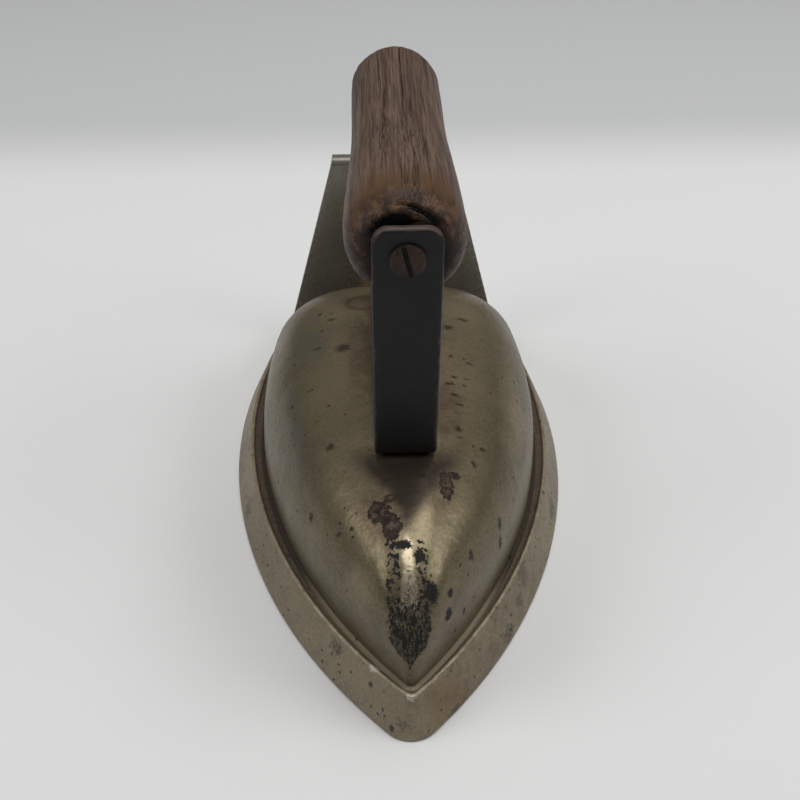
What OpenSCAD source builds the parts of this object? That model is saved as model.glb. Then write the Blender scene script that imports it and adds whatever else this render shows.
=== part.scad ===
// Early electric flat iron: cast sole, clamped ribbon element, pressed cover, strap and turned grip.
// The nose points along -Y, the sole lies on Z = 0, and the pieces are mirror images across X = 0.
// Places along the iron are measured from the tip of the nose and moved to the middle at the end.

/* [Sole plate] */
// Widest part of the sole
sole_w = 104; // [98:1:112]
// Length from the tip of the nose to the flat back
sole_len = 166; // [164:1:172]
// Distance from the tip to the widest part
widest_y = 108; // [104:1:112]
// Radius of the nose in plan
nose_r = 8.6; // [8:0.2:10]
// Radius of the rim's nose, where the two sides of the skirt meet in a crest
rim_nose_r = 2; // [1.6:0.1:2.6]
// Height of the sole at its rim
sole_h = 12.5; // [12:0.5:15]
// How far the skirt leans in from the sole edge to the rim
skirt_in = 5; // [4:0.2:6]
// Upright band at the foot of the skirt
edge_h = 1.2; // [0.8:0.1:2]
// Width of the raised rim
rim_w = 1; // [0.8:0.1:1.2]
// Depth of the ledge below the rim
ledge_drop = 1.2; // [0.8:0.1:1.6]

/* [Cover] */
// Distance from the sole's edge to the foot of the cover at its widest
cover_in = 9.4; // [9:0.1:10.4]
// Distance from the inside of the rim to the foot of the cover at the nose
cover_front = 2; // [1.8:0.1:2.6]
// Radius of the cover's nose at its foot
cover_nose_r = 1.5; // [1.2:0.1:1.8]
// Growth of the nose radius from foot to crown
cover_nose_grow = 15.5; // [9:0.5:18]
// Distance from the sole's back to the back of the cover's foot
cover_back = 11; // [10:0.5:13]
// Corner radius of the cover's back in plan
cover_corner_r = 28; // [26:1:34]
// Height of the flat seat for the strap
seat_z = 50; // [46:0.5:56]
// How far the crown would rise above the seat if it were not flat
crown_over = 0.8; // [0.6:0.1:1.2]
// Sheet thickness
cover_t = 1; // [0.8:0.1:1.4]
// Width of the out-turned hem
hem_w = 1.2; // [0.8:0.1:1.4]
// Squareness of the cover's nose in side view: 2 is an ellipse, more is squarer
cover_nose_power = 4.2; // [3.6:0.1:5]
// Squareness of the cover's sides
cover_side_power = 2.6; // [2.2:0.1:3]
// Squareness of the cover's back
cover_rear_power = 2.2; // [2:0.1:2.5]

/* [Handle] */
// Front face of the strap, from the tip
strap_y = 51; // [49:0.5:54]
// Strap width
strap_w = 16; // [14:0.5:18]
// Strap thickness
strap_t = 2.2; // [2:0.1:2.6]
// Bend radius at the middle of the strap's thickness
strap_bend_r = 2.4; // [2:0.1:4]
// Corner radius of the strap's ends
strap_end_r = 4; // [2:0.5:6]
// Rear foot bend of the strap, from the tip
strap_foot_y = 120; // [118:0.5:122]
// Height of the crank in the rear leg
crank_z = 88; // [82:1:94]
// Height of the grip's axis
grip_z = 110.6; // [106:0.1:114]
// Strap above the grip's axis
strap_over = 7.8; // [7.4:0.1:9]
// Length of the grip
grip_len = 87; // [84:1:96]
// Grip diameter at the front swell
grip_swell_d = 28.2; // [26:0.2:32]
// Grip diameter at the waist
grip_waist_d = 24.4; // [23:0.2:26]
// Grip diameter at its front end face
grip_front_d = 19; // [18:0.5:21]
// Grip diameter at its rear end face
grip_rear_d = 22; // [20:0.5:22.6]

/* [Heel plate] */
// Height of the heel plate
heel_z = 74.2; // [68:0.2:80]
// Width at the top
heel_top_w = 39.2; // [36:0.2:44]
// Width at the foot
heel_foot_w = 77.8; // [74:0.2:80]
// Sheet thickness
heel_t = 1.5; // [1.2:0.1:1.6]
// Depth of the bent lips, sheet included
heel_lip = 4; // [3.8:0.1:5]
// Bend radius of the lips at the middle of the sheet
heel_bend_r = 1.8; // [1.4:0.1:2]
// Clearance between the heel plate's foot and the surface under the sole
heel_lift = 1.5; // [1:0.1:2]

/* [Heating pack] */
// Inset of the pack from the foot of the cover
pack_in = 5; // [4.5:0.1:6]
// Distance from the sole's back to the back of the pack
pack_back = 30; // [29.5:0.5:32]
// Mica sheet thickness
mica_t = 0.5; // [0.4:0.1:0.8]
// Element ribbon thickness
ribbon_t = 0.5; // [0.3:0.1:0.6]
// Element ribbon width
ribbon_w = 3; // [2:0.2:3.6]
// Spacing of the ribbon's runs
ribbon_pitch = 5.6; // [5.4:0.1:5.8]
// Runs on each side of the studs, an odd number so that the last run meets its mirror image at the nose
ribbon_runs = 5; // [3:2:5]
// Asbestos sheet thickness
asbestos_t = 2; // [1:0.5:3]
// Pressure plate thickness
pressure_t = 10; // [6:0.5:10]

/* [Terminals] */
// Plug pin diameter
pin_d = 5.5; // [5:0.1:6]
// Distance between the plug pins
pin_pitch = 18; // [17:0.5:19]
// Height of the plug pins
pin_z = 17.5; // [17.2:0.1:18]
// Distance from the sole's back to the back face of the terminal block
block_back = 13; // [12.5:0.5:14]
// Length of the terminal block
block_len = 8; // [7:0.5:8.5]
// Width of the terminal block
block_w = 46; // [44:0.5:48]
// Free length of the plug pins
pin_free = 12; // [10:0.5:12.4]

/* [Fasteners] */
// Clamp stud diameter
stud_d = 8; // [7:0.5:8.5]
// Front clamp stud, from the tip
stud_front_y = 68; // [67:0.5:72]
// Rear clamp stud, from the tip
stud_rear_y = 104; // [100:0.5:106]
// Nut across flats
nut_af = 13; // [12.6:0.2:14]
// Nut height
nut_h = 6.5; // [5:0.5:7]
// Washer diameter
washer_d = 15; // [14:0.5:15.6]
// Washer thickness
washer_t = 1.5; // [1:0.1:2]
// Grip screw diameter
screw_d = 4.4; // [4:0.1:5]
// Grip screw head diameter
screw_head_d = 8.2; // [7.6:0.1:9]
// Grip screw head height
screw_head_h = 1.4; // [1.2:0.1:1.8]
// Grip screw length under the head
screw_len = 30; // [24:1:34]
// Clearance on a diameter between a hole and what goes through it
hole_clear = 0.4; // [0.2:0.05:0.6]

/* [Hidden] */
$fn = 64;

// Overall length, from the tip to the heel plate's lips
total_len = sole_len + heel_lip;
// Front of the cover's foot, from the tip
cover_tip = skirt_in + rim_w + cover_front;
// Backs of the cover's foot, of the heating pack and of the terminal block, from the tip
cover_rear = sole_len - cover_back;
pack_rear = sole_len - pack_back;
block_rear = sole_len - block_back;
// Height of the ledge that carries the cover and the heating pack
ledge_z = sole_h - ledge_drop;
// Small overlap that keeps a cut from ending on a face
cut = 1;
// Points on the nose arc, on a side arc and on a rear corner arc of an outline
nose_steps = 5;
side_steps = 14;
corner_steps = 7;

// Corner radii in plan, at the back of the sole, of its pocket and of the heating pack, and the pack's nose
rear_corner_r = 7;
pocket_corner_r = 2.2;
pack_corner_r = 10;
pack_nose_r = 5;

// Outline parameters are [half width, tip, nose radius, back, rear corner radius]
sole_outline = [sole_w / 2, 0, nose_r, sole_len, rear_corner_r];
rim_outline = [sole_w / 2 - skirt_in, skirt_in, rim_nose_r, sole_len, rear_corner_r];
pocket_outline = grow([rim_outline[0], skirt_in, rim_nose_r, sole_len - skirt_in, pocket_corner_r], -rim_w);
cover_outline = [sole_w / 2 - cover_in, cover_tip, cover_nose_r, cover_rear, cover_corner_r];
pack_outline = [cover_outline[0] - pack_in, cover_tip + 2 * pack_in, pack_nose_r, pack_rear, pack_corner_r];

// Heights in the heating pack
element_z = ledge_z + mica_t;
upper_mica_z = element_z + ribbon_t;
asbestos_z = upper_mica_z + mica_t;
pressure_z = asbestos_z + asbestos_t;
pressure_top = pressure_z + pressure_t;
// Depth of the studs' thread in the sole
stud_depth = 7;
// Height of the studs' tops
stud_top = seat_z + strap_t + washer_t + nut_h + 1.5;

// Rear inside face of the strap
grip_front = strap_y + strap_t;
grip_rear = grip_front + grip_len;
strap_top = grip_z + strap_over;

// Opening for the plug in the heel plate
window_w = 38;
window_top = pin_z + 5.1;
window_r = 3;
heel_screw_x = 28;
heel_screw_z = 7.4;
heel_screw_d = 4.2;
heel_screw_len = 12;
heel_head_d = 6.6;
heel_head_h = 2;

// Terminal block and what it carries
block_front = block_rear - block_len;
block_h = 11.5;
block_screw_d = 3.2;
block_screw_x = 18.6;
block_screw_len = 13.5;
block_head_d = 5.6;
block_head_h = 2;
// Underside of the block screws' sunk heads
block_screw_z = ledge_z + block_h - block_head_h;
pin_shank_d = 3.6;
terminal_nut_af = 6.6;
terminal_nut_h = 2.4;
lead_t = 0.5;
lead_w = 6;
lead_tail = 3;

// Radius of a side arc: half width w, distance u from the tip to the widest part, nose radius r
function side_r(w, u, r) = (w * w + u * u - 2 * u * r) / (2 * (w - r));

// An outline grown outwards by d all round
function grow(o, d) = [o[0] + d, o[1] - d, o[2] + d, o[3] + d, o[4] + d];

function arc(c, r, from, to, steps, first = 1) =
    [for (i = [first:steps]) let (a = from + (to - from) * i / steps) c + r * [cos(a), sin(a)]];

// Points of the pointed outline: nose arc, side arcs and rounded rear corners, each tangent to the next
function outline(o) =
    let (
        r = side_r(o[0], widest_y - o[1], o[2]),
        side_c = [o[0] - r, widest_y],
        nose_c = [0, o[1] + o[2]],
        nose_end = atan2(nose_c[1] - widest_y, r - o[0]),
        back = o[3] - o[4],
        corner_c = [sqrt(pow(r - o[4], 2) - pow(back - widest_y, 2)) + side_c[0], back],
        side_end = atan2(back - widest_y, corner_c[0] - side_c[0]),
        right = concat(
            arc(nose_c, o[2], -90, nose_end, nose_steps, 0),
            arc(side_c, r, nose_end, side_end, side_steps),
            arc(corner_c, o[4], side_end, 90, corner_steps)),
        n = len(right))
    concat(right, [for (i = [n - 1:-1:1]) [-right[i][0], right[i][1]]]);

// Distance from the tip at which an outline's side arc reaches the half width x, ahead of the widest part
function side_y(o, x) =
    let (r = side_r(o[0], widest_y - o[1], o[2]))
    widest_y - sqrt(r * r - pow(r - o[0] + x, 2));

// Superellipse: how far in a wall stands at the share t of its height
function wall(t, power) = pow(1 - pow(t, power), 1 / power);

// One level of the cover, at the share t of the height h above the ledge
function cover_ring(o, t, h) =
    let (
        front = wall(t, cover_nose_power),
        side = wall(t, cover_side_power),
        back = wall(t, cover_rear_power),
        level = outline([o[0], o[1], o[2] + cover_nose_grow * t, o[3], o[4]]))
    [for (p = level) [
        p[0] * side,
        widest_y + (p[1] - widest_y) * (p[1] < widest_y ? front : back),
        ledge_z + h * t]];

function at_height(points, z) = [for (p = points) [p[0], p[1], z]];

// A bar bent along a path: the points of its outline, with every bend an arc
function unit(v) = v / norm(v);
function left_of(d) = [-d[1], d[0]];
function turn(d, a) = [d[0] * cos(a) - d[1] * sin(a), d[0] * sin(a) + d[1] * cos(a)];
function bend(before, at, after, r, steps) =
    let (
        d = unit(at - before),
        e = unit(after - at),
        a = atan2(d[0] * e[1] - d[1] * e[0], d * e),
        s = sign(a),
        c = at - d * r * tan(abs(a) / 2) + left_of(d) * r * s)
    [for (i = [0:steps]) let (f = turn(d, a * i / steps)) [c - left_of(f) * r * s, f]];
function bar_outline(path, r, t, steps = 6) =
    let (
        n = len(path) - 1,
        line = concat(
            [[path[0], unit(path[1] - path[0])]],
            [for (i = [1:n - 1]) each bend(path[i - 1], path[i], path[i + 1], r, steps)],
            [[path[n], unit(path[n] - path[n - 1])]]),
        m = len(line) - 1)
    concat(
        [for (q = line) q[0] + left_of(q[1]) * t / 2],
        [for (i = [m:-1:0]) line[i][0] - left_of(line[i][1]) * t / 2]);

// Radius of the grip at the distance y from its front face
function grip_r(y) =
    let (
        swell_y = 0.13 * grip_len,
        reach = 0.3 * grip_len,
        body = grip_waist_d / 2
            + (grip_swell_d - grip_waist_d) / 2 * exp(-pow((y - swell_y) / reach, 2)),
        front_len = 0.1 * grip_len,
        rear_len = 0.03 * grip_len,
        front = y < front_len ? sqrt(1 - pow(1 - y / front_len, 2)) : 1,
        rear = y > grip_len - rear_len ? sqrt(1 - pow(1 - (grip_len - y) / rear_len, 2)) : 1)
    rear < 1 ? grip_rear_d / 2 + (body - grip_rear_d / 2) * rear
             : grip_front_d / 2 + (body - grip_front_d / 2) * front;

// Moves a piece from the tip's frame to the middle of the iron
module placed() {
    translate([0, -total_len / 2, 0])
        children();
}

// Extrudes a shape drawn in Y and Z along X, centred
module along_x(w) {
    rotate([90, 0, 90])
        linear_extrude(w, center = true)
            children();
}

// Extrudes a shape drawn in X and Z along Y, from y to y + len
module along_y(y, len) {
    translate([0, y + len, 0])
        rotate([90, 0, 0])
            linear_extrude(len)
                children();
}

module slab(o, z, h) {
    translate([0, 0, z])
        linear_extrude(h)
            polygon(outline(o));
}

module at_studs() {
    for (y = [stud_front_y, stud_rear_y])
        translate([0, y, 0])
            children();
}

module mirrored(x) {
    for (side = [-1, 1])
        translate([side * x, 0, 0])
            children();
}

// A round hole or rod along Z
module rod(d, z, h) {
    translate([0, 0, z])
        cylinder(d = d, h = h);
}

// A round hole or rod along Y
module rod_y(d, y, len) {
    translate([0, y, 0])
        rotate([-90, 0, 0])
            cylinder(d = d, h = len);
}

module hex_nut(af, h, bore) {
    difference() {
        cylinder(d = af / cos(30), h = h, $fn = 6);
        rod(bore, -cut, h + 2 * cut);
    }
}

module washer(z) {
    difference() {
        rod(washer_d, z, washer_t);
        rod(stud_d + hole_clear, z - cut, washer_t + 2 * cut);
    }
}

// A slotted screw along -Z, with the underside of its head at Z = 0
module slotted_screw(d, len, head_d, head_h) {
    slot_w = head_d * 0.14;
    slot_h = head_h * 0.45;
    crown_h = head_h * 0.35;
    difference() {
        union() {
            rod(d, -len, len + head_h / 2);
            rod(head_d, 0, head_h - crown_h);
            translate([0, 0, head_h - crown_h])
                cylinder(d1 = head_d, d2 = head_d * 0.72, h = crown_h);
        }
        translate([-head_d, -slot_w / 2, head_h - slot_h])
            cube([2 * head_d, slot_w, slot_h + cut]);
    }
}

// The bevelled casting: its foot and its narrower, sharper rim, joined by the sloping skirt
module sole_body() {
    rim_band = 0.3;
    hull() {
        slab(sole_outline, 0, edge_h);
        slab(rim_outline, sole_h - rim_band, rim_band);
    }
}

module sole_plate() {
    color("dimgray")
        placed()
            difference() {
                sole_body();
                slab(pocket_outline, ledge_z, ledge_drop + cut);
                at_studs()
                    rod(stud_d, ledge_z - stud_depth, stud_depth + cut);
                mirrored(heel_screw_x)
                    translate([0, 0, heel_screw_z])
                        rod_y(heel_screw_d, sole_len - heel_screw_len, heel_screw_len + cut);
                mirrored(block_screw_x)
                    translate([0, block_rear - block_len / 2, 0])
                        rod(block_screw_d, block_screw_z - block_screw_len, block_screw_len);
            }
}

// Sheet of the heating pack with clearance holes for the studs
module pack_sheet(z, h) {
    placed()
        difference() {
            slab(pack_outline, z, h);
            at_studs()
                rod(stud_d + hole_clear, z - cut, h + 2 * cut);
        }
}

module lower_mica() {
    color("burlywood")
        pack_sheet(ledge_z, mica_t);
}

module upper_mica() {
    color("burlywood")
        pack_sheet(upper_mica_z, mica_t);
}

module asbestos_sheet() {
    color("gainsboro")
        pack_sheet(asbestos_z, asbestos_t);
}

module pressure_plate() {
    color("darkslategray")
        pack_sheet(pressure_z, pressure_t);
}

// Flat resistance ribbon, one length: round the nose, then to and fro on each side of the studs
module heating_element() {
    margin = 1.5;
    bend_share = 0.45;
    bend_steps = 3;
    half = ribbon_w / 2;
    nose_line = grow(pack_outline, -margin - half);
    inside = grow(nose_line, -half);
    nose_gap = ribbon_pitch - ribbon_w;
    last = ribbon_runs - 1;
    run_x = function(i) pin_pitch / 2 + i * ribbon_pitch;
    nose_y = side_y(nose_line, run_x(last));
    front = function(i) i == last ? nose_y : side_y(inside, run_x(i + 1 - i % 2) + half) + nose_gap;
    rear = function(i) i == 0 ? pack_rear + lead_tail : pack_rear - 2 * ribbon_w;
    side = concat(
        [for (p = outline(nose_line)) if (p[0] > ribbon_w && p[1] < nose_y - ribbon_w) p],
        [for (i = [last:-1:0], end = [i % 2, 1 - i % 2]) [run_x(i), end == 0 ? front(i) : rear(i)]]);
    path = concat(
        [for (i = [len(side) - 1:-1:0]) [-side[i][0], side[i][1]]],
        [[0, nose_line[1]]],
        side);
    color("slategray")
        placed()
            translate([0, 0, element_z])
                linear_extrude(ribbon_t)
                    polygon(bar_outline(path, bend_share * ribbon_pitch, ribbon_w, bend_steps));
}

module clamp_studs() {
    color("silver")
        placed()
            at_studs()
                rod(stud_d, ledge_z - stud_depth, stud_top - ledge_z + stud_depth);
}

module clamp_washers() {
    color("gray")
        placed()
            at_studs()
                washer(pressure_top);
}

module clamp_nuts() {
    color("gray")
        placed()
            at_studs()
                translate([0, 0, pressure_top + washer_t])
                    hex_nut(nut_af, nut_h, stud_d);
}

// Pressed shell: levels of the pointed outline drawn in towards a flat seat for the strap
module cover_shell() {
    outer_steps = 13;
    inner_steps = 9;
    outer_h = seat_z + crown_over - ledge_z;
    inner_h = outer_h - cover_t;
    inner_outline = grow(cover_outline, -cover_t);
    outer_top = asin((seat_z - ledge_z) / outer_h);
    inner_top = asin((seat_z - cover_t - ledge_z) / inner_h);
    hem_t = 0.9 * cover_t;
    hem_foot = asin(hem_t / outer_h);
    hem = outline(grow(cover_outline, hem_w));
    outer = [for (i = [0:outer_steps])
        cover_ring(cover_outline, sin(hem_foot + (outer_top - hem_foot) * i / outer_steps), outer_h)];
    inner = [for (i = [inner_steps:-1:0])
        cover_ring(inner_outline, sin(inner_top * i / inner_steps), inner_h)];
    rings = concat([at_height(hem, ledge_z), at_height(hem, ledge_z + hem_t)], outer, inner);
    n = len(hem);
    m = len(rings);
    top = outer_steps + 2;
    // Bands between neighbouring levels, the last one closing the foot, and the two flat caps at the seat
    bands = [for (k = [0:m - 1], i = [0:n - 1])
        if (k != top)
            let (j = (i + 1) % n, a = k * n, b = ((k + 1) % m) * n)
                each [[a + i, b + i, b + j], [a + i, b + j, a + j]]];
    caps = [[for (i = [n - 1:-1:0]) top * n + i], [for (i = [0:n - 1]) (top + 1) * n + i]];
    polyhedron([for (ring = rings) each ring], concat(bands, caps), convexity = 6);
}

module cover() {
    opening_w = block_w + 2 * hole_clear;
    opening_top = ledge_z + block_h + hole_clear;
    color("rosybrown")
        placed()
            difference() {
                cover_shell();
                at_studs()
                    rod(stud_d + hole_clear, seat_z - 3 * cover_t, 6 * cover_t);
                translate([-opening_w / 2, block_front, 0])
                    cube([opening_w, sole_len, opening_top]);
            }
}

// Bar bent to a U: upright front leg, seat on the cover, and a rear leg cranked back to the end of the grip
module handle_strap() {
    mid = strap_t / 2;
    path = [
        [strap_y + mid, strap_top],
        [strap_y + mid, seat_z + mid],
        [strap_foot_y, seat_z + mid],
        [grip_rear + mid, crank_z],
        [grip_rear + mid, strap_top]];
    color("black")
        placed()
            difference() {
                intersection() {
                    along_x(strap_w)
                        polygon(bar_outline(path, strap_bend_r, strap_t));
                    along_y(0, sole_len) {
                        translate([-strap_w / 2, 0])
                            square([strap_w, strap_top - strap_end_r]);
                        translate([strap_end_r - strap_w / 2, 0])
                            square([strap_w - 2 * strap_end_r, strap_top]);
                        mirrored(strap_w / 2 - strap_end_r)
                            translate([0, strap_top - strap_end_r])
                                circle(strap_end_r);
                    }
                }
                at_studs()
                    rod(stud_d + hole_clear, seat_z - cut, strap_t + 2 * cut);
                translate([0, 0, grip_z])
                    rod_y(screw_d + hole_clear, 0, sole_len);
            }
}

module strap_washers() {
    color("gray")
        placed()
            at_studs()
                washer(seat_z + strap_t);
}

module strap_nuts() {
    color("gray")
        placed()
            at_studs()
                translate([0, 0, seat_z + strap_t + washer_t])
                    hex_nut(nut_af, nut_h, stud_d);
}

// Turned grip with a swell behind the front leg
module grip() {
    steps = 40;
    pilot_len = screw_len;
    color("saddlebrown")
        placed()
            translate([0, grip_front, grip_z])
                rotate([-90, 0, 0])
                    difference() {
                        rotate_extrude()
                            polygon(concat(
                                [[0, 0]],
                                [for (i = [0:steps]) let (y = grip_len * i / steps) [grip_r(y), y]],
                                [[0, grip_len]]));
                        rod(screw_d + hole_clear, -cut, pilot_len + cut);
                        rod(screw_d + hole_clear, grip_len - pilot_len, pilot_len + cut);
                    }
}

module grip_screws() {
    color("sienna")
        placed() {
            translate([0, strap_y, grip_z])
                rotate([90, 76, 0])
                    slotted_screw(screw_d, screw_len, screw_head_d, screw_head_h);
            translate([0, grip_rear + strap_t, grip_z])
                rotate([-90, 90, 0])
                    slotted_screw(screw_d, screw_len, screw_head_d, screw_head_h);
        }
}

// Tapered sheet with a lip bent back at its head and foot, and an opening for the plug
module heel_plate() {
    window_h = window_top - sole_h;
    mid = heel_t / 2;
    path = [
        [sole_len + heel_lip, heel_lift + mid],
        [sole_len + mid, heel_lift + mid],
        [sole_len + mid, heel_z - mid],
        [sole_len + heel_lip, heel_z - mid]];
    face = [
        [-heel_foot_w / 2, heel_lift],
        [heel_foot_w / 2, heel_lift],
        [heel_top_w / 2, heel_z],
        [-heel_top_w / 2, heel_z]];
    color("gray")
        placed()
            difference() {
                intersection() {
                    along_x(heel_foot_w)
                        polygon(bar_outline(path, heel_bend_r, heel_t));
                    along_y(sole_len - cut, heel_lip + 2 * cut)
                        polygon(face);
                }
                along_y(sole_len - cut, heel_t + 2 * cut) {
                    translate([-window_w / 2, sole_h + window_r])
                        square([window_w, window_h - 2 * window_r]);
                    translate([window_r - window_w / 2, sole_h])
                        square([window_w - 2 * window_r, window_h]);
                    for (x = [-1, 1], z = [sole_h + window_r, window_top - window_r])
                        translate([x * (window_w / 2 - window_r), z])
                            circle(window_r);
                }
                mirrored(heel_screw_x)
                    translate([0, 0, heel_screw_z])
                        rod_y(heel_screw_d + hole_clear, sole_len - cut, heel_t + 2 * cut);
            }
}

module heel_screws() {
    color("silver")
        placed()
            mirrored(heel_screw_x)
                translate([0, sole_len + heel_t, heel_screw_z])
                    rotate([-90, 0, 0])
                        slotted_screw(heel_screw_d, heel_screw_len, heel_head_d, heel_head_h);
}

module terminal_block() {
    color("ivory")
        placed()
            difference() {
                translate([-block_w / 2, block_front, ledge_z])
                    cube([block_w, block_len, block_h]);
                mirrored(pin_pitch / 2)
                    translate([0, 0, pin_z])
                        rod_y(pin_shank_d + hole_clear, block_front - cut, block_len + 2 * cut);
                mirrored(block_screw_x)
                    translate([0, block_rear - block_len / 2, 0]) {
                        rod(block_screw_d + hole_clear, ledge_z - cut, block_h + 2 * cut);
                        rod(block_head_d + hole_clear, block_screw_z, block_head_h + cut);
                    }
            }
}

// Plug pins: a thin shank through the block and a thick free end with a rounded tip
module terminal_pins() {
    shank_front = block_front - lead_t - terminal_nut_h - 1;
    tip_len = 1.2;
    color("gold")
        placed()
            mirrored(pin_pitch / 2)
                translate([0, 0, pin_z]) {
                    rod_y(pin_shank_d, shank_front, block_rear - shank_front + cut);
                    rod_y(pin_d, block_rear, pin_free - tip_len);
                    translate([0, block_rear + pin_free - tip_len, 0])
                        rotate([-90, 0, 0])
                            cylinder(d1 = pin_d, d2 = 0.7 * pin_d, h = tip_len);
                }
}

module terminal_nuts() {
    color("gold")
        placed()
            mirrored(pin_pitch / 2)
                translate([0, block_front - lead_t, pin_z])
                    rotate([90, 0, 0])
                        hex_nut(terminal_nut_af, terminal_nut_h, pin_shank_d);
}

// Bent strips from the element's tails up to the plug pins
module lead_strips() {
    foot_z = upper_mica_z;
    lead_top = pin_z + lead_w / 2;
    tail_y = pack_rear + 0.5;
    color("silver")
        placed()
            difference() {
                mirrored(pin_pitch / 2)
                    along_x(lead_w)
                        polygon([
                            [tail_y, foot_z],
                            [block_front, foot_z],
                            [block_front, lead_top],
                            [block_front - lead_t, lead_top],
                            [block_front - lead_t, foot_z + lead_t],
                            [tail_y, foot_z + lead_t]]);
                mirrored(pin_pitch / 2)
                    translate([0, 0, pin_z])
                        rod_y(pin_shank_d + hole_clear, block_front - lead_t - cut, lead_t + 2 * cut);
            }
}

module block_screws() {
    color("silver")
        placed()
            mirrored(block_screw_x)
                translate([0, block_rear - block_len / 2, block_screw_z])
                    slotted_screw(block_screw_d, block_screw_len, block_head_d, block_head_h);
}

sole_plate();
lower_mica();
heating_element();
upper_mica();
asbestos_sheet();
pressure_plate();
clamp_studs();
clamp_washers();
clamp_nuts();
cover();
handle_strap();
strap_washers();
strap_nuts();
grip();
grip_screws();
heel_plate();
heel_screws();
terminal_block();
terminal_pins();
terminal_nuts();
lead_strips();
block_screws();
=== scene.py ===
"""Early electric flat iron: aged nickel cover, bevelled sole, black strap and weathered turned grip."""

import math

import bmesh
import bpy
from mathutils import Matrix, Vector, noise


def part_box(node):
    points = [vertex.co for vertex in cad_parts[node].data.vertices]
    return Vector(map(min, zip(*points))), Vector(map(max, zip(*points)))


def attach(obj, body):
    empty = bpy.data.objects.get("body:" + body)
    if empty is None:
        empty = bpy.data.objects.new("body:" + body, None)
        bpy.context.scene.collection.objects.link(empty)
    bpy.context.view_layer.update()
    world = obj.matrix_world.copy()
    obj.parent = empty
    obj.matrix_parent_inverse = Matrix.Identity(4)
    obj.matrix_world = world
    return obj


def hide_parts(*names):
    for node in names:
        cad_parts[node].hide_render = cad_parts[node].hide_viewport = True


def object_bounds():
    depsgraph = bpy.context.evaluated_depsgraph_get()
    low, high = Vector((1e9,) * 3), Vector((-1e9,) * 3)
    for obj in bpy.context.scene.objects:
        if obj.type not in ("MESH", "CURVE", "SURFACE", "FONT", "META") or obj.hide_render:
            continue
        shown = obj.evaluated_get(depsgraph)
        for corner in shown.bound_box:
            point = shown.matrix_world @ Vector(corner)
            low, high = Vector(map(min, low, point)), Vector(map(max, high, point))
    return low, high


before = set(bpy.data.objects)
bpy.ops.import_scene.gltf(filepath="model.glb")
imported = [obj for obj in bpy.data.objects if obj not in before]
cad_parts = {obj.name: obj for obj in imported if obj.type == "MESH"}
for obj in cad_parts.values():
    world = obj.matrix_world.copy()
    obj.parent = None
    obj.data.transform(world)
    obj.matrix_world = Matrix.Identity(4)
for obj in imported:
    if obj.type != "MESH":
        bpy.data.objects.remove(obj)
CAD_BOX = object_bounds()

bl_info = {
    "name": "Flat iron",
    "version": (1, 0, 0),
    "blender": (4, 5, 0),
    "location": "View3D > Sidebar > Flat iron",
    "description": "Dresses the solids of an early electric flat iron with worn metal and wood",
    "category": "Object",
}

BODY = "root"
MM = 0.001

# Points along each stretch of a plan outline: nose, side, rear corner and half of the back
PLAN_STEPS = (14, 120, 16, 12)
# Distance at which points merge, and the angle in degrees past which an edge of a solid is eased
MERGE = 1e-6
SHARP_EDGE = 35


# Settings

def length(name, description, default):
    return bpy.props.FloatProperty(
        name=name, description=description, default=default, unit="LENGTH", precision=5)


def factor(name, description, default, top=10.0):
    return bpy.props.FloatProperty(
        name=name, description=description, default=default, min=0.0, max=top)


def colour(name, description, red, green, blue):
    return bpy.props.FloatVectorProperty(
        name=name, description=description, default=(red, green, blue, 1.0),
        subtype="COLOR", size=4, min=0.0, max=1.0)


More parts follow.
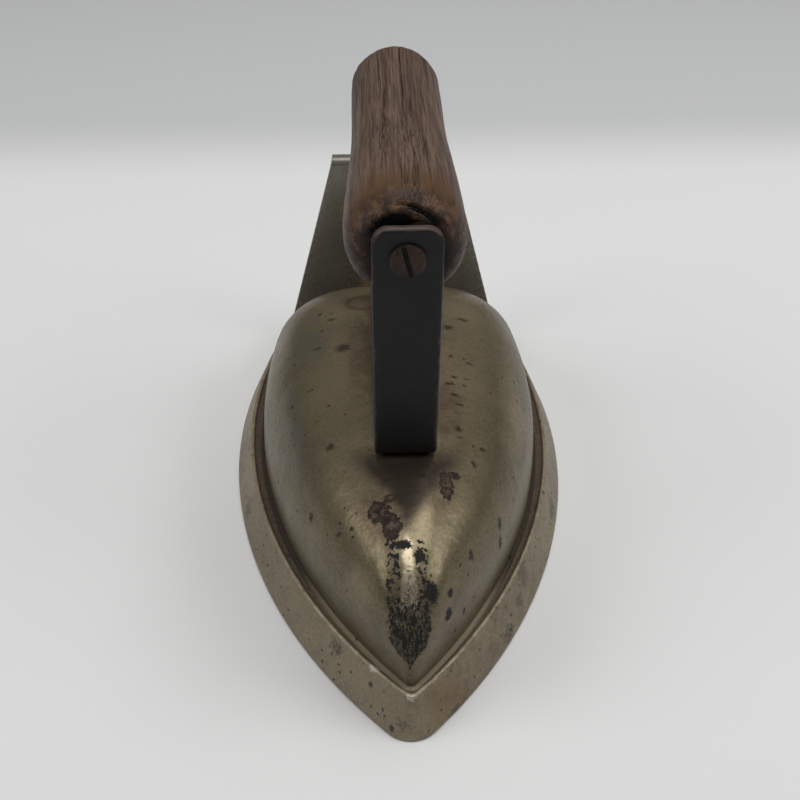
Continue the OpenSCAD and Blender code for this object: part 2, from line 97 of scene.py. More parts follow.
class IronSizes(bpy.types.PropertyGroup):
    """Sizes of the pieces that are modelled anew."""
    tip: length("Tip", "Place of the nose's tip along the iron", -0.085)
    widest: length("Widest part", "Distance from the tip to the widest part", 0.108)
    sole_half: length("Sole half width", "Half of the sole's width", 0.052)
    sole_back: length("Sole back", "Distance from the tip to the sole's back", 0.166)
    sole_nose: length("Sole nose", "Radius of the sole's nose in plan", 0.0086)
    sole_corner: length("Sole corner", "Radius of the sole's rear corners", 0.007)
    sole_height: length("Sole height", "Height of the sole's rim", 0.0125)
    sole_band: length("Foot band", "Upright band at the foot of the skirt", 0.0012)
    skirt_lean: length("Skirt lean", "How far the skirt leans in up to the rim", 0.005)
    rim: length("Rim", "Width of the raised rim", 0.001)
    rim_nose: length("Rim nose", "Radius of the rim's nose in plan", 0.002)
    ledge: length("Ledge", "Height of the ledge behind the rim", 0.0113)
    cover_half: length("Cover half width", "Half width of the cover's foot", 0.0426)
    cover_tip: length("Cover tip", "Cover's foot at the nose, from the tip", 0.008)
    cover_nose: length("Cover nose", "Radius of the cover's nose at its foot", 0.0015)
    cover_nose_growth: length("Nose growth", "Growth of that radius up to the crown", 0.0155)
    cover_back: length("Cover back", "Back of the cover's foot, from the tip", 0.155)
    cover_corner: length("Cover corner", "Radius of the cover's rear corners", 0.028)
    cover_sheet: length("Cover sheet", "Thickness of the cover's sheet", 0.001)
    hem: length("Hem", "Width of the cover's out-turned hem", 0.0012)
    seat: length("Seat", "Height of the flat seat on the cover", 0.05)
    crown: length("Crown", "Height that the flat seat takes off the crown", 0.0008)
    nose_power: factor("Nose squareness", "Squareness of the cover's nose from the side", 4.2)
    side_power: factor("Side squareness", "Squareness of the cover's sides", 2.6)
    back_power: factor("Back squareness", "Squareness of the cover's back", 2.2)
    strap_front: length("Strap front", "Front face of the strap, from the tip", 0.051)
    strap_width: length("Strap width", "Width of the strap", 0.016)
    strap_thick: length("Strap thickness", "Thickness of the strap", 0.0022)
    strap_bend: length("Strap bend", "Bend radius at the middle of the strap", 0.0024)
    strap_end: length("Strap end", "Corner radius of the strap's ends", 0.004)
    strap_foot: length("Strap foot", "Rear foot bend of the strap, from the tip", 0.12)
    strap_crank: length("Strap crank", "Height of the crank in the rear leg", 0.088)
    strap_top: length("Strap top", "Height of the strap's ends", 0.1184)
    grip_height: length("Grip height", "Height of the grip's axis", 0.1106)
    grip_length: length("Grip length", "Length of the grip", 0.087)
    grip_swell: length("Grip swell", "Radius of the grip at its front swell", 0.0141)
    grip_waist: length("Grip waist", "Radius of the grip at its waist", 0.0122)
    grip_front: length("Grip front", "Radius of the grip's front face", 0.0095)
    grip_rear: length("Grip rear", "Radius of the grip's rear face", 0.011)


class IronFinish(bpy.types.PropertyGroup):
    """Colours and wear."""
    nickel: colour("Nickel", "Aged nickel plate", 0.19, 0.158, 0.097)
    nickel_dull: colour("Dull nickel", "Stained areas of the plate", 0.087, 0.07, 0.042)
    # Also the painted light that makes the cover's top lighter
    pale_nickel_and_top_light: colour("Pale nickel", "Plate of the cover's upper part", 0.278, 0.225, 0.141)
    nickel_cool: colour("Cool nickel", "Blue-grey areas of the plate", 0.12, 0.128, 0.116)
    # Also the painted highlight of the overhead light along the cover's nose
    nickel_bright_and_highlight: colour("Bright nickel", "Plate that wear keeps bright", 0.42, 0.355, 0.255)
    sole: colour("Sole", "Plate of the casting", 0.29, 0.243, 0.165)
    sole_dull: colour("Dull sole", "Stained areas of the casting", 0.14, 0.108, 0.064)
    sole_brown: colour("Brown sole", "Browned plate beside the tip", 0.19, 0.122, 0.056)
    chip: colour("Chip", "Bare bright metal where the rim is chipped", 0.5, 0.46, 0.39)
    heel: colour("Heel sheet", "Plate of the upright heel sheet", 0.2, 0.189, 0.155)
    heel_dull: colour("Dull heel sheet", "Stained areas of the heel sheet", 0.2, 0.185, 0.15)
    rust: colour("Rust", "Iron under lost plate", 0.022, 0.014, 0.011)
    rust_brown: colour("Brown rust", "Thin rust inside a bare patch", 0.1, 0.072, 0.05)
    rust_warm: colour("Rust bloom", "Brown stain round lost plate", 0.1, 0.06, 0.04)
    # Also the painted shade and dark reflection of the strap on the cover in front of it
    grime_and_shade: colour("Grime", "Dirt in the groove round the cover's foot", 0.032, 0.024, 0.019)
    scale: colour("Scale", "Black scale on the bared nose", 0.017, 0.016, 0.015)
    strap: colour("Strap black", "Enamel of the strap", 0.009, 0.0092, 0.0093)
    strap_worn: colour("Strap worn", "Strap edge with worn enamel", 0.075, 0.055, 0.046)
    wood: colour("Wood", "Weathered wood of the grip", 0.166, 0.11, 0.08)
    wood_dark: colour("Dark wood", "Dark grain of the grip", 0.076, 0.049, 0.036)
    wood_scorched: colour("Scorched wood", "Wood browned by heat", 0.1, 0.052, 0.023)
    # Also the painted shade on the lower part of the grip's front end
    wood_brown_and_shade: colour("Browned wood", "Dark brown wood at the front end", 0.03, 0.017, 0.013)
    char: colour("Char", "Burnt wood", 0.006, 0.0052, 0.005)
    wood_glow: colour("Orange wood", "Orange flecks in the browned wood", 0.13, 0.066, 0.03)
    wood_worn: colour("Worn wood", "Pale rubbed rim of the grip", 0.3, 0.25, 0.2)
    floor: colour("Floor", "Pale floor", 0.76, 0.76, 0.757)
    wall: colour("Backdrop", "Greyer sheet behind", 0.57, 0.575, 0.577)


# Plan outlines and profiles

def arc(centre, radius, start, end, steps, first=1):
    turns = [start + (end - start) * i / steps for i in range(first, steps + 1)]
    return [(centre[0] + radius * math.cos(a), centre[1] + radius * math.sin(a)) for a in turns]


def plan_outline(half, tip, nose, back, corner, widest):
    """Pointed outline from the tip round by the right: nose, side, rear corner, flat back and so on."""
    nose_steps, side_steps, corner_steps, back_steps = PLAN_STEPS
    reach = widest - tip
    radius = (half ** 2 + reach ** 2 - 2 * reach * nose) / (2 * (half - nose))
    side = (half - radius, widest)
    nose_end = math.atan2(tip + nose - widest, radius - half)
    line = back - corner
    turn = (math.sqrt((radius - corner) ** 2 - (line - widest) ** 2) + side[0], line)
    side_end = math.atan2(line - widest, turn[0] - side[0])
    right = arc((0.0, tip + nose), nose, -math.pi / 2, nose_end, nose_steps, 0)
    right += arc(side, radius, nose_end, side_end, side_steps)
    right += arc(turn, corner, side_end, math.pi / 2, corner_steps)
    last = right[-1][0]
    right += [(last * (1 - i / back_steps), back) for i in range(1, back_steps + 1)]
    return right + [(-x, y) for x, y in right[-2:0:-1]]


def wall(share, power):
    return max(0.0, 1 - share ** power) ** (1 / power)


def lay_ring(points, height, tip):
    return [Vector((x, y + tip, height)) for x, y in points]


def soft_cap(value, top, soft):
    """The lesser of a value and its cap, with a soft change from one to the other."""
    below = (top - value) / soft
    return top - soft * (max(below, 0.0) + math.log1p(math.exp(-abs(below))))


def smooth_step(value, low, high):
    share = min(1.0, max(0.0, (value - low) / (high - low)))
    return share * share * (3 - 2 * share)


def round_off(radius, reach):
    """How far a rounded edge falls back at a reach from its end."""
    return radius - math.sqrt(max(0.0, radius ** 2 - max(0.0, radius - reach) ** 2))


def waver(*place):
    """A smooth unevenness between about -1 and 1."""
    return noise.noise(Vector(place))


# Modelling helpers

def deselect():
    if bpy.context.object and bpy.context.object.mode != "OBJECT":
        bpy.ops.object.mode_set(mode="OBJECT")
    bpy.ops.object.select_all(action="DESELECT")


def pick(piece):
    deselect()
    piece.select_set(True)
    bpy.context.view_layer.objects.active = piece


def extrude_rings(name, rings, closed, marks):
    """A circle laid on the first ring and extruded from ring to ring; marks write point attributes."""
    deselect()
    bpy.ops.mesh.primitive_circle_add(vertices=len(rings[0]), radius=MM)
    piece = bpy.context.object
    piece.name = piece.data.name = name
    for key in marks:
        piece.data.attributes.new(key, "FLOAT", "POINT")
    bpy.ops.object.mode_set(mode="EDIT")
    bpy.ops.mesh.select_all(action="SELECT")
    first = lead = list(range(len(rings[0])))
    for step, ring in enumerate(rings):
        if step:
            bpy.ops.mesh.extrude_edges_indiv()
        mesh = bmesh.from_edit_mesh(piece.data)
        mesh.verts.ensure_lookup_table()
        mesh.verts.index_update()
        if step:
            lead = [next(e.other_vert(mesh.verts[old]).index for e in mesh.verts[old].link_edges
                         if e.other_vert(mesh.verts[old]).select) for old in lead]
        for place, index in zip(ring, lead):
            mesh.verts[index].co = place
        for key, mark in marks.items():
            layer = mesh.verts.layers.float[key]
            for turn, index in enumerate(lead):
                mesh.verts[index][layer] = mark(step, turn)
        bmesh.update_edit_mesh(piece.data)
    if closed:
        bpy.ops.mesh.edge_face_add()
        bpy.ops.mesh.select_all(action="DESELECT")
        mesh = bmesh.from_edit_mesh(piece.data)
        mesh.verts.ensure_lookup_table()
        for index in first:
            mesh.verts[index].select = True
        mesh.select_flush(True)
        bmesh.update_edit_mesh(piece.data)
        bpy.ops.mesh.edge_face_add()
    bpy.ops.mesh.select_all(action="SELECT")
    bpy.ops.mesh.remove_doubles(threshold=MERGE)
    bpy.ops.mesh.normals_make_consistent(inside=False)
    bpy.ops.object.mode_set(mode="OBJECT")
    return piece


def apply_modifier(piece, kind, **settings):
    pick(piece)
    modifier = piece.modifiers.new(kind.title(), kind)
    for key, value in settings.items():
        setattr(modifier, key, value)
    bpy.ops.object.modifier_apply(modifier=modifier.name)


def ripple(piece, size, strength):
    """Shallow unevenness over the whole surface."""
    texture = bpy.data.textures.new(piece.name + "_ripple", "CLOUDS")
    texture.noise_scale = size
    apply_modifier(piece, "DISPLACE", texture=texture, texture_coords="LOCAL", strength=strength,
                   mid_level=0.5)
    bpy.data.textures.remove(texture)


def cut_box(piece, low, high):
    """Cuts a box-shaped opening."""
    deselect()
    centre = (Vector(low) + Vector(high)) / 2
    bpy.ops.mesh.primitive_cube_add(size=1, location=centre, scale=Vector(high) - Vector(low))
    cutter = bpy.context.object
    apply_modifier(piece, "BOOLEAN", operation="DIFFERENCE", solver="EXACT", object=cutter)
    bpy.data.objects.remove(cutter)


def shade(piece, degrees):
    pick(piece)
    bpy.ops.object.shade_smooth_by_angle(angle=math.radians(degrees))


def hand_over(piece, node, material):
    """The piece takes its material, rides on the body and stands for its solid."""
    piece.data.materials.clear()
    piece.data.materials.append(material)
    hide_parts(node)
    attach(piece, BODY)


def eased_copy(node, edge, material):
    """A copy of a solid with its sharp edges eased, which stands for it."""
    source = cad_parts[node]
    pick(source)
    bpy.ops.object.duplicate()
    piece = bpy.context.object
    for key in list(piece.keys()):
        del piece[key]
    piece.parent = None
    piece.matrix_world = Matrix.Identity(4)
    piece.name = piece.data.name = "eased_" + node
    bpy.ops.object.mode_set(mode="EDIT")
    bpy.ops.mesh.select_all(action="SELECT")
    bpy.ops.mesh.customdata_custom_splitnormals_clear()
    bpy.ops.mesh.remove_doubles(threshold=2 * MERGE)
    bpy.ops.mesh.dissolve_limited(angle_limit=math.radians(1))
    bpy.ops.object.mode_set(mode="OBJECT")
    apply_modifier(piece, "BEVEL", width=edge, segments=3, limit_method="ANGLE",
                   angle_limit=math.radians(SHARP_EDGE), use_clamp_overlap=True)
    shade(piece, 38)
    hand_over(piece, node, material)
    return piece


def paint_node(node, material):
    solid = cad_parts[node]
    for place in solid.material_slots:
        place.material = material


# Node helpers

class Tree:
    """Adds nodes to one node tree, and links or sets their inputs."""

    def __init__(self, tree):
        self.tree = tree

    def feed(self, target, value):
        """Links a socket to an input, or sets the input to a plain value."""
        if isinstance(value, bpy.types.NodeSocket):
            self.tree.links.new(value, target)
        else:
            target.default_value = value

    def add(self, kind, inputs=None, **settings):
        node = self.tree.nodes.new(kind)
        for key, value in settings.items():
            setattr(node, key, value)
        for key, value in (inputs or {}).items():
            self.feed(node.inputs[key], value)
        return node

    def group(self, name, **inputs):
        """The outputs of a node group placed with its own values."""
        inputs = {key.replace("_", " "): value for key, value in inputs.items()}
        return self.add("ShaderNodeGroup", inputs, node_tree=bpy.data.node_groups[name]).outputs

    def attribute(self, name):
        return self.add("ShaderNodeAttribute", attribute_name=name).outputs["Fac"]

    def vector(self, operation, first, second=(0, 0, 0)):
        node = self.add("ShaderNodeVectorMath", {0: first, 1: second}, operation=operation)
        return node.outputs["Value" if operation == "LENGTH" else "Vector"]

    def stretch(self, vector, *scale):
        return self.add("ShaderNodeMapping", {"Vector": vector, "Scale": scale}).outputs[0]

    def parts(self, vector):
        return self.add("ShaderNodeSeparateXYZ", {0: vector}).outputs

    def parts_mm(self, place):
        """The parts of a place in millimetres."""
        return self.parts(self.vector("MULTIPLY", place, (1 / MM,) * 3))

    def math(self, operation, first, second=0.0):
        return self.add("ShaderNodeMath", {0: first, 1: second}, operation=operation).outputs[0]

    def chain(self, operation, values):
        """One operation worked through several values in order."""
        result = values[0]
        for value in values[1:]:
            result = self.math(operation, result, value)
        return result

    def times(self, *values):
        return self.chain("MULTIPLY", values)

    def plus(self, *values):
        return self.chain("ADD", values)

    def minus(self, *values):
        return self.chain("SUBTRACT", values)

    def most(self, *values):
        return self.chain("MAXIMUM", values)

    def span(self, value, low, high, start=0.0, end=1.0):
        inputs = {"Value": value, "From Min": low, "From Max": high, "To Min": start, "To Max": end}
        return self.add("ShaderNodeMapRange", inputs, interpolation_type="SMOOTHSTEP").outputs[0]

    def blend(self, share, first, second):
        return self.add("ShaderNodeMix", {0: share, 2: first, 3: second}).outputs[0]

    def mix(self, share, first, second):
        return self.add("ShaderNodeMix", {0: share, 6: first, 7: second}, data_type="RGBA").outputs[2]

    def stain(self, tone, colour, *shares):
        """A tone with a colour laid over it by the product of some shares."""
        return self.mix(self.times(*shares), tone, colour)

    def noise(self, vector, scale, detail=4.0, rough=0.55, distort=0.0):
        inputs = {"Vector": vector, "Scale": scale, "Detail": detail, "Roughness": rough,
                  "Distortion": distort}
        return self.add("ShaderNodeTexNoise", inputs).outputs["Fac"]

    def swirl(self, vector, scale):
        """A noise with three parts of its own."""
        inputs = {"Vector": vector, "Scale": scale, "Detail": 4.0}
        return self.add("ShaderNodeTexNoise", inputs).outputs["Color"]

    def seam(self, vector, scale, detail, rough, distort=0.0):
        """How far a noise is from its middle: nothing along fine winding lines."""
        return self.math("ABSOLUTE", self.minus(self.noise(vector, scale, detail, rough, distort), 0.5))


class Surface(Tree):
    """A new material: its tree, its main shader and the place on the piece."""

    def __init__(self, name):
        self.material = bpy.data.materials.new(name)
        self.material.use_nodes = True
        super().__init__(self.material.node_tree)
        self.shader = self.tree.nodes["Principled BSDF"]
        self.place = self.add("ShaderNodeTexCoord").outputs["Object"]

    def mottle(self, scale):
        """Broad and fine unevenness."""
        return self.group("Mottle", Vector=self.place, Scale=scale)

    def specks(self, scale, size, share, vector=None):
        place = self.place if vector is None else vector
        return self.group("Specks", Vector=place, Scale=scale, Size=size, Share=share)["Mask"]

    def worn(self, edge, scale, amount):
        """Wear along the edges that a point attribute marks."""
        return self.group("Worn edge", Edge=self.attribute(edge), Vector=self.place, Scale=scale,
                          Amount=amount)["Mask"]

    def done(self, height=None, bump=0.0, depth=0.0, **inputs):
        """Connects the shader's inputs, and a bump from a height, and gives the material."""
        for key, value in inputs.items():
            self.feed(self.shader.inputs[key.replace("_", " ")], value)
        if height is not None:
            node = self.add("ShaderNodeBump", {"Strength": bump, "Distance": depth, "Height": height})
            self.feed(self.shader.inputs["Normal"], node.outputs["Normal"])
        return self.material


def group_tree(name, vectors, values, outputs=("Mask",)):
    """An empty node group with named inputs and outputs."""
    group = bpy.data.node_groups.new(name, "ShaderNodeTree")
    for keys, way, kind in ((vectors, "INPUT", "Vector"), (values, "INPUT", "Float"),
                            (outputs, "OUTPUT", "Float")):
        for key in keys:
            group.interface.new_socket(key, in_out=way, socket_type="NodeSocket" + kind)
    tree = Tree(group)
    return tree, tree.add("NodeGroupInput").outputs, tree.add("NodeGroupOutput").inputs


def build_groups():
    """Effects that several finishes share."""
    tree, given, result = group_tree(
        "Broken patch", ("Vector", "Place", "Reach"), ("Rough", "Break up", "Soft"))
    away = tree.vector("DIVIDE", tree.vector("SUBTRACT", given["Vector"], given["Place"]), given["Reach"])
    inside = tree.minus(1.0, tree.vector("LENGTH", away))
    broken = tree.plus(inside, tree.times(given["Rough"], given["Break up"]))
    tree.feed(result["Mask"], tree.span(broken, 0.0, given["Soft"]))

    tree, given, result = group_tree("Specks", ("Vector",), ("Scale", "Size", "Share"))
    shift = tree.vector("MULTIPLY", tree.swirl(given["Vector"], 1300.0), (0.0016,) * 3)
    cells = tree.add("ShaderNodeTexVoronoi", {
        "Vector": tree.vector("ADD", given["Vector"], shift), "Scale": given["Scale"]}).outputs
    chance = tree.parts(cells["Color"])
    size = tree.times(given["Size"], tree.plus(0.4, chance[1]))
    spot = tree.span(tree.minus(size, cells["Distance"]), 0.0, 0.08)
    kept = tree.math("LESS_THAN", chance[0], given["Share"])
    tree.feed(result["Mask"], tree.times(spot, kept))

    tree, given, result = group_tree("Mottle", ("Vector",), ("Scale",), ("Broad", "Fine"))
    finer = tree.times(given["Scale"], 14.0)
    tree.feed(result["Broad"], tree.span(tree.noise(given["Vector"], given["Scale"], 5.0, 0.6), 0.33, 0.68))
    tree.feed(result["Fine"], tree.span(tree.noise(given["Vector"], finer, 4.0, 0.6), 0.3, 0.7))

    tree, given, result = group_tree("Worn edge", ("Vector",), ("Edge", "Scale", "Amount"))
    rough = tree.times(tree.noise(given["Vector"], given["Scale"], 6.0, 0.65), 1.2)
    reach = tree.plus(tree.minus(given["Edge"], rough), given["Amount"])
    tree.feed(result["Mask"], tree.span(reach, 0.25, 0.5))


# Finishes

class Wear:
    """Broken patches that share one unevenness; its shift, places and reaches are in millimetres."""

    def __init__(self, tree, scale, shift):
        swirl = tree.vector("SUBTRACT", tree.swirl(tree.place, scale), (0.5,) * 3)
        self.tree = tree
        self.vector = tree.vector("ADD", tree.place, tree.vector("MULTIPLY", swirl, (shift * MM,) * 3))
        self.rough = tree.minus(tree.noise(tree.place, 3 * scale, 5.0, 0.65), 0.5)

    def patches(self, *rows, break_up=1.2, soft=0.16):
        """One mask for several patches."""
        return self.tree.most(*(
            self.tree.group("Broken patch", Vector=self.vector, Rough=self.rough, Place=Vector(row[:3]) * MM,
                            Reach=Vector(row[3:]) * MM, Break_up=break_up, Soft=soft)["Mask"]
            for row in rows))


# Marks on the cover in millimetres: place, then reach
RUST_PATCHES = (
    (-7.4, -49.4, 46.9, 3.2, 3.4, 3), (-4.3, -54, 46.7, 2.6, 4.4, 3), (-4.4, -46.3, 48.3, 1.7, 1.5, 2),
    (10.2, -41.6, 47.4, 2.1, 4.8, 3), (12.6, -37.6, 47.2, 1.7, 1.1, 2))
SCALE_SPOTS = (
    (-1.8, -59.1, 45.7, 2.3, 1.5, 1.6), (2.5, -61.7, 44.7, 1.5, 1.7, 1.7), (4.9, -69, 39.8, 2.0, 2.4, 4.0),
    (9.3, -69, 31, 1.4, 1.6, 2.3), (9.7, -66.5, 36.2, 1.0, 1.2, 1.7), (13.8, -63.4, 24.7, 0.8, 0.9, 1.3))
DASHES = (
    (-16.6, 13.2, 49.4, 2.6, 2.2, 3), (-24.2, 16, 46.9, 1.9, 0.6, 2), (-31, 14, 41.5, 0.7, 1.2, 2),
    (19.8, 26.9, 48.6, 2.4, 1.0, 2), (15, 21.8, 49.8, 1.9, 1.3, 2), (13.8, -4, 49.6, 1.6, 0.7, 2),
    (14.7, -8.5, 49.2, 1.4, 0.6, 2), (14.7, -21.5, 48.3, 1.3, 1.3, 2), (21, -26.2, 44.9, 0.9, 1.0, 2),
    (24.5, -42.2, 33.7, 0.9, 1.5, 3), (24.8, -44.6, 28.6, 0.8, 1.6, 2.6), (-19.6, -24.8, 45.9, 1.8, 1.6, 2),
    (15.6, -56, 37.5, 0.9, 1.5, 2), (-26, -1, 45.4, 1.6, 0.5, 2), (-25, -40, 35, 0.8, 1.3, 2),
    (18, -32, 45.5, 0.9, 1.1, 2), (-17.5, -50, 39.5, 0.8, 1.0, 2), (-20, 28.6, 48.4, 1.9, 0.8, 2),
    (20, 6.2, 48.3, 1.4, 0.7, 2), (17.8, -3.8, 48.6, 1.2, 0.6, 2), (15.8, -12, 48.7, 1.5, 0.6, 2))
RING_STAIN = ((-10.5, 36, 49.5, 6.2, 5.6, 5), (-10.2, 36, 49.5, 4.7, 4.1, 5))
# Stretches where the plate is pitted, is paler, has a brown bloom or looks cooler
PITTED = (
    (17, 8, 49, 7, 26, 4), (17, -24, 47, 7, 16, 5), (-26, 22, 46, 12, 14, 5),
    (-32, -4, 40, 6, 20, 8), (-16, -50, 39, 10, 12, 9), (14, -55, 38, 8, 14, 10))
PALE = ((31, -2, 40, 7, 36, 10), (-12, -62, 34, 6, 10, 10), (-22, 31, 48, 12, 8, 5), (20, 30, 48, 9, 7, 5))
BLOOM = (
    (-11, 8, 50, 5, 28, 6), (12, -16, 49, 7, 16, 8), (-6, -50, 47, 9, 12, 9),
    (-13, 36, 49, 12, 6, 5), (9, -42, 47, 6, 9, 6), (12, -64, 25, 9, 13, 10))
COOL = ((-31, -8, 38, 8, 26, 9), (-25, 20, 45, 9, 14, 5))

# Marks on the sole in the same way: chips of the rim, stains of the skirt, browned plate by the tip
RIM_CHIPS = ((-8.9, -71.2, 12.2, 2.0, 1.3, 1.4), (-0.2, -79.6, 12.0, 1.3, 1.2, 1.6))
SKIRT_STAINS = (
    (-19, -62.5, 9.4, 3.2, 2.6, 3), (-46.5, -9, 6, 2.2, 3.4, 4), (33, -40, 10, 2.4, 4.5, 5),
    (27.5, -55.5, 3.4, 3, 3.5, 2.6), (11, -77, 1, 4, 2.4, 1.6), (-2, -82, 4, 2.4, 2.2, 2.6),
    (31, -46.5, 6, 2, 2.4, 2.6), (46, -12, 5, 2, 5, 4))
BROWNED_TIP = (9, -77, 6, 11, 9, 9)


def bared_nose(tree):
    """Masks on the nose: black scale down its ridge, plate worn bright above with a painted highlight of the
    overhead light along it, and flaws by that.
    """
    wear = Wear(tree, 420.0, 2.4)
    x, y, z = tree.parts_mm(wear.vector)
    aside = tree.math("ABSOLUTE", tree.plus(x, 0.5))
    ahead = tree.span(y, -54, -58)
    scale_half = tree.span(z, 18.5, 31, 0.0, 5.2)
    inside = tree.plus(tree.minus(scale_half, aside), tree.times(wear.rough, 4.0))
    ragged = tree.plus(z, tree.times(wear.rough, 16.0))
    scaled = tree.times(tree.span(inside, 0.0, 0.5), tree.span(ragged, 39.4, 38.4), ahead)
    # The bright streak up the ridge: plate worn bright there, painted lighter as the highlight of the
    # overhead light
    window = tree.times(tree.span(z, 36.4, 37.4), tree.span(z, 47, 45.4), ahead)
    bright_half = tree.span(z, 37, 46.5, 2.9, 1.6)
    whole = tree.span(tree.noise(tree.place, 820.0, 4.0, 0.6), 0.62, 0.56)
    bright = tree.times(tree.span(tree.minus(bright_half, aside), 0.0, 1.2), window,
                        tree.blend(whole, 0.15, 1.0))
    islands = tree.times(tree.span(tree.noise(tree.place, 620.0, 5.0, 0.65), 0.5, 0.54),
                         tree.span(aside, 1.2, 2.8), tree.span(aside, 6.0, 4.2), window)
    flaws = tree.times(bright, tree.specks(900.0, 0.42, 0.3))
    return scaled, bright, tree.most(tree.span(islands, 0.35, 0.6), flaws)


def nickel_cover(finish):
    tree = Surface("aged_nickel_cover")
    place = tree.place
    broad, _ = tree.mottle(34.0)
    smudge = tree.span(tree.noise(place, 150.0, 7.0, 0.72), 0.36, 0.62)
    grain = tree.span(tree.noise(place, 1250.0, 3.0, 0.7), 0.35, 0.65)
    even = tree.blend(0.45, tree.blend(0.35, broad, smudge), grain)
    tone = tree.mix(even, finish.nickel_dull, finish.nickel)
    # Painted light: from 40 mm up the cover's top is lightened towards pale nickel, where the light falls on
    # it
    upper = tree.span(tree.parts_mm(place)[2], 40, 49.5)
    tone = tree.stain(tone, finish.pale_nickel_and_top_light, upper, tree.blend(even, 0.35, 0.95))
    # Brown bloom by the strap and round lost plate, cooler and paler stretches, and a painted shadow and dark
    # reflection of the strap in front of it
    stain = Wear(tree, 70.0, 6.0)
    bloom = stain.patches(*BLOOM, break_up=0.9, soft=0.5)
    tone = tree.stain(tone, finish.rust_warm, bloom, tree.blend(smudge, 0.55, 0.15))
    cool = stain.patches(*COOL, break_up=1.0, soft=0.6)
    tone = tree.stain(tone, finish.nickel_cool, cool, tree.blend(smudge, 0.2, 0.6))
    pale = stain.patches(*PALE, break_up=1.0, soft=0.7)
    tone = tree.stain(tone, finish.pale_nickel_and_top_light, pale, tree.blend(even, 0.25, 0.6))
    x, y, _ = tree.parts_mm(stain.vector)
    # Painted shade: a dark V in front of the strap's foot stands for the strap's shadow and its dark
    # reflection
    half = tree.times(tree.plus(y, 59), 0.55)
    strap_shade_and_reflection = tree.span(tree.minus(half, tree.math("ABSOLUTE", x)), -1.5, 4.5)
    tone = tree.stain(tone, finish.grime_and_shade, strap_shade_and_reflection, tree.span(y, -26, -36), 0.92)
    # The hem is grimy along the sides; towards the nose it takes the sole's lighter colour, painted light
    # against the shade of the cover's wall
    foot = tree.times(tree.attribute("foot"), tree.span(y, -40, -66, 0.9, 0.2))
    tone = tree.mix(foot, tone, finish.grime_and_shade)
    # Painted light: towards the nose the hem is lightened to the sole's colour, offsetting the shade beside
    # the cover's wall
    hem = tree.times(tree.span(tree.attribute("foot"), 0.8, 1.0), tree.span(y, -36, -62))
    tone = tree.stain(tone, finish.sole, hem, 0.8)
    scaled, bright, flaws = bared_nose(tree)
    # Painted highlight of the overhead light on the nose's ridge, over plate worn bright there
    tone = tree.mix(bright, tone, finish.nickel_bright_and_highlight)
    # Lost plate: rusted patches, small dashes and pits, and black scale with shards of plate left in it
    wear = Wear(tree, 330.0, 2.6)
    rusted = wear.patches(*RUST_PATCHES, break_up=1.3)
    within = wear.patches(*RUST_PATCHES, break_up=1.3, soft=0.8)
    small = Wear(tree, 900.0, 2.0)
    ring = tree.minus(*(small.patches(row, break_up=0.6, soft=0.2) for row in RING_STAIN))
    tone = tree.stain(tone, finish.rust_warm, tree.most(ring, 0.0), 0.6)
    dashes = small.patches(*DASHES, break_up=3.2, soft=0.35)
    shard = tree.span(tree.seam(tree.stretch(place, 1.5, 0.45, 0.45), 800.0, 4.0, 0.6, 0.8), 0.045, 0.012)
    shard = tree.times(shard, tree.span(tree.noise(place, 300.0), 0.34, 0.5), scaled, 0.7)
    scaled = tree.most(scaled, small.patches(*SCALE_SPOTS, break_up=1.5), flaws)
    clusters = tree.times(tree.specks(560.0, 0.28, 0.28, tree.stretch(place, 0.55, 1.0, 1.0)),
                          stain.patches(*PITTED, break_up=1.4, soft=0.7))
    pits = tree.most(tree.specks(170.0, 0.14, 0.2), tree.specks(460.0, 0.2, 0.12), clusters, dashes)
    flecked = tree.span(tree.noise(place, 620.0, 5.0, 0.65), 0.43, 0.58)
    tone = tree.stain(tone, finish.rust, pits, 0.85)
    tone = tree.mix(rusted, tone, tree.stain(finish.rust, finish.rust_brown, within, flecked))
    tone = tree.mix(scaled, tone, tree.mix(shard, finish.scale, finish.nickel))
    bare = tree.most(tree.times(pits, 0.8), rusted, scaled, foot, hem)
    height = tree.plus(tree.minus(tree.times(tree.noise(place, 700.0, 3.0, 0.5), 0.3), bare),
                       tree.times(tree.noise(place, 1500.0, 3.0), bare),
                       tree.times(tree.noise(place, 170.0, 3.0, 0.6), 2.2))
    return tree.done(height, bump=0.5, depth=0.00022, Base_Color=tone, Specular_IOR_Level=0.15,
                     Roughness=tree.blend(bare, tree.blend(even, 0.4, 0.3), 0.62),
                     Metallic=tree.blend(bare, tree.blend(bright, 0.5, 0.8), 0.1))


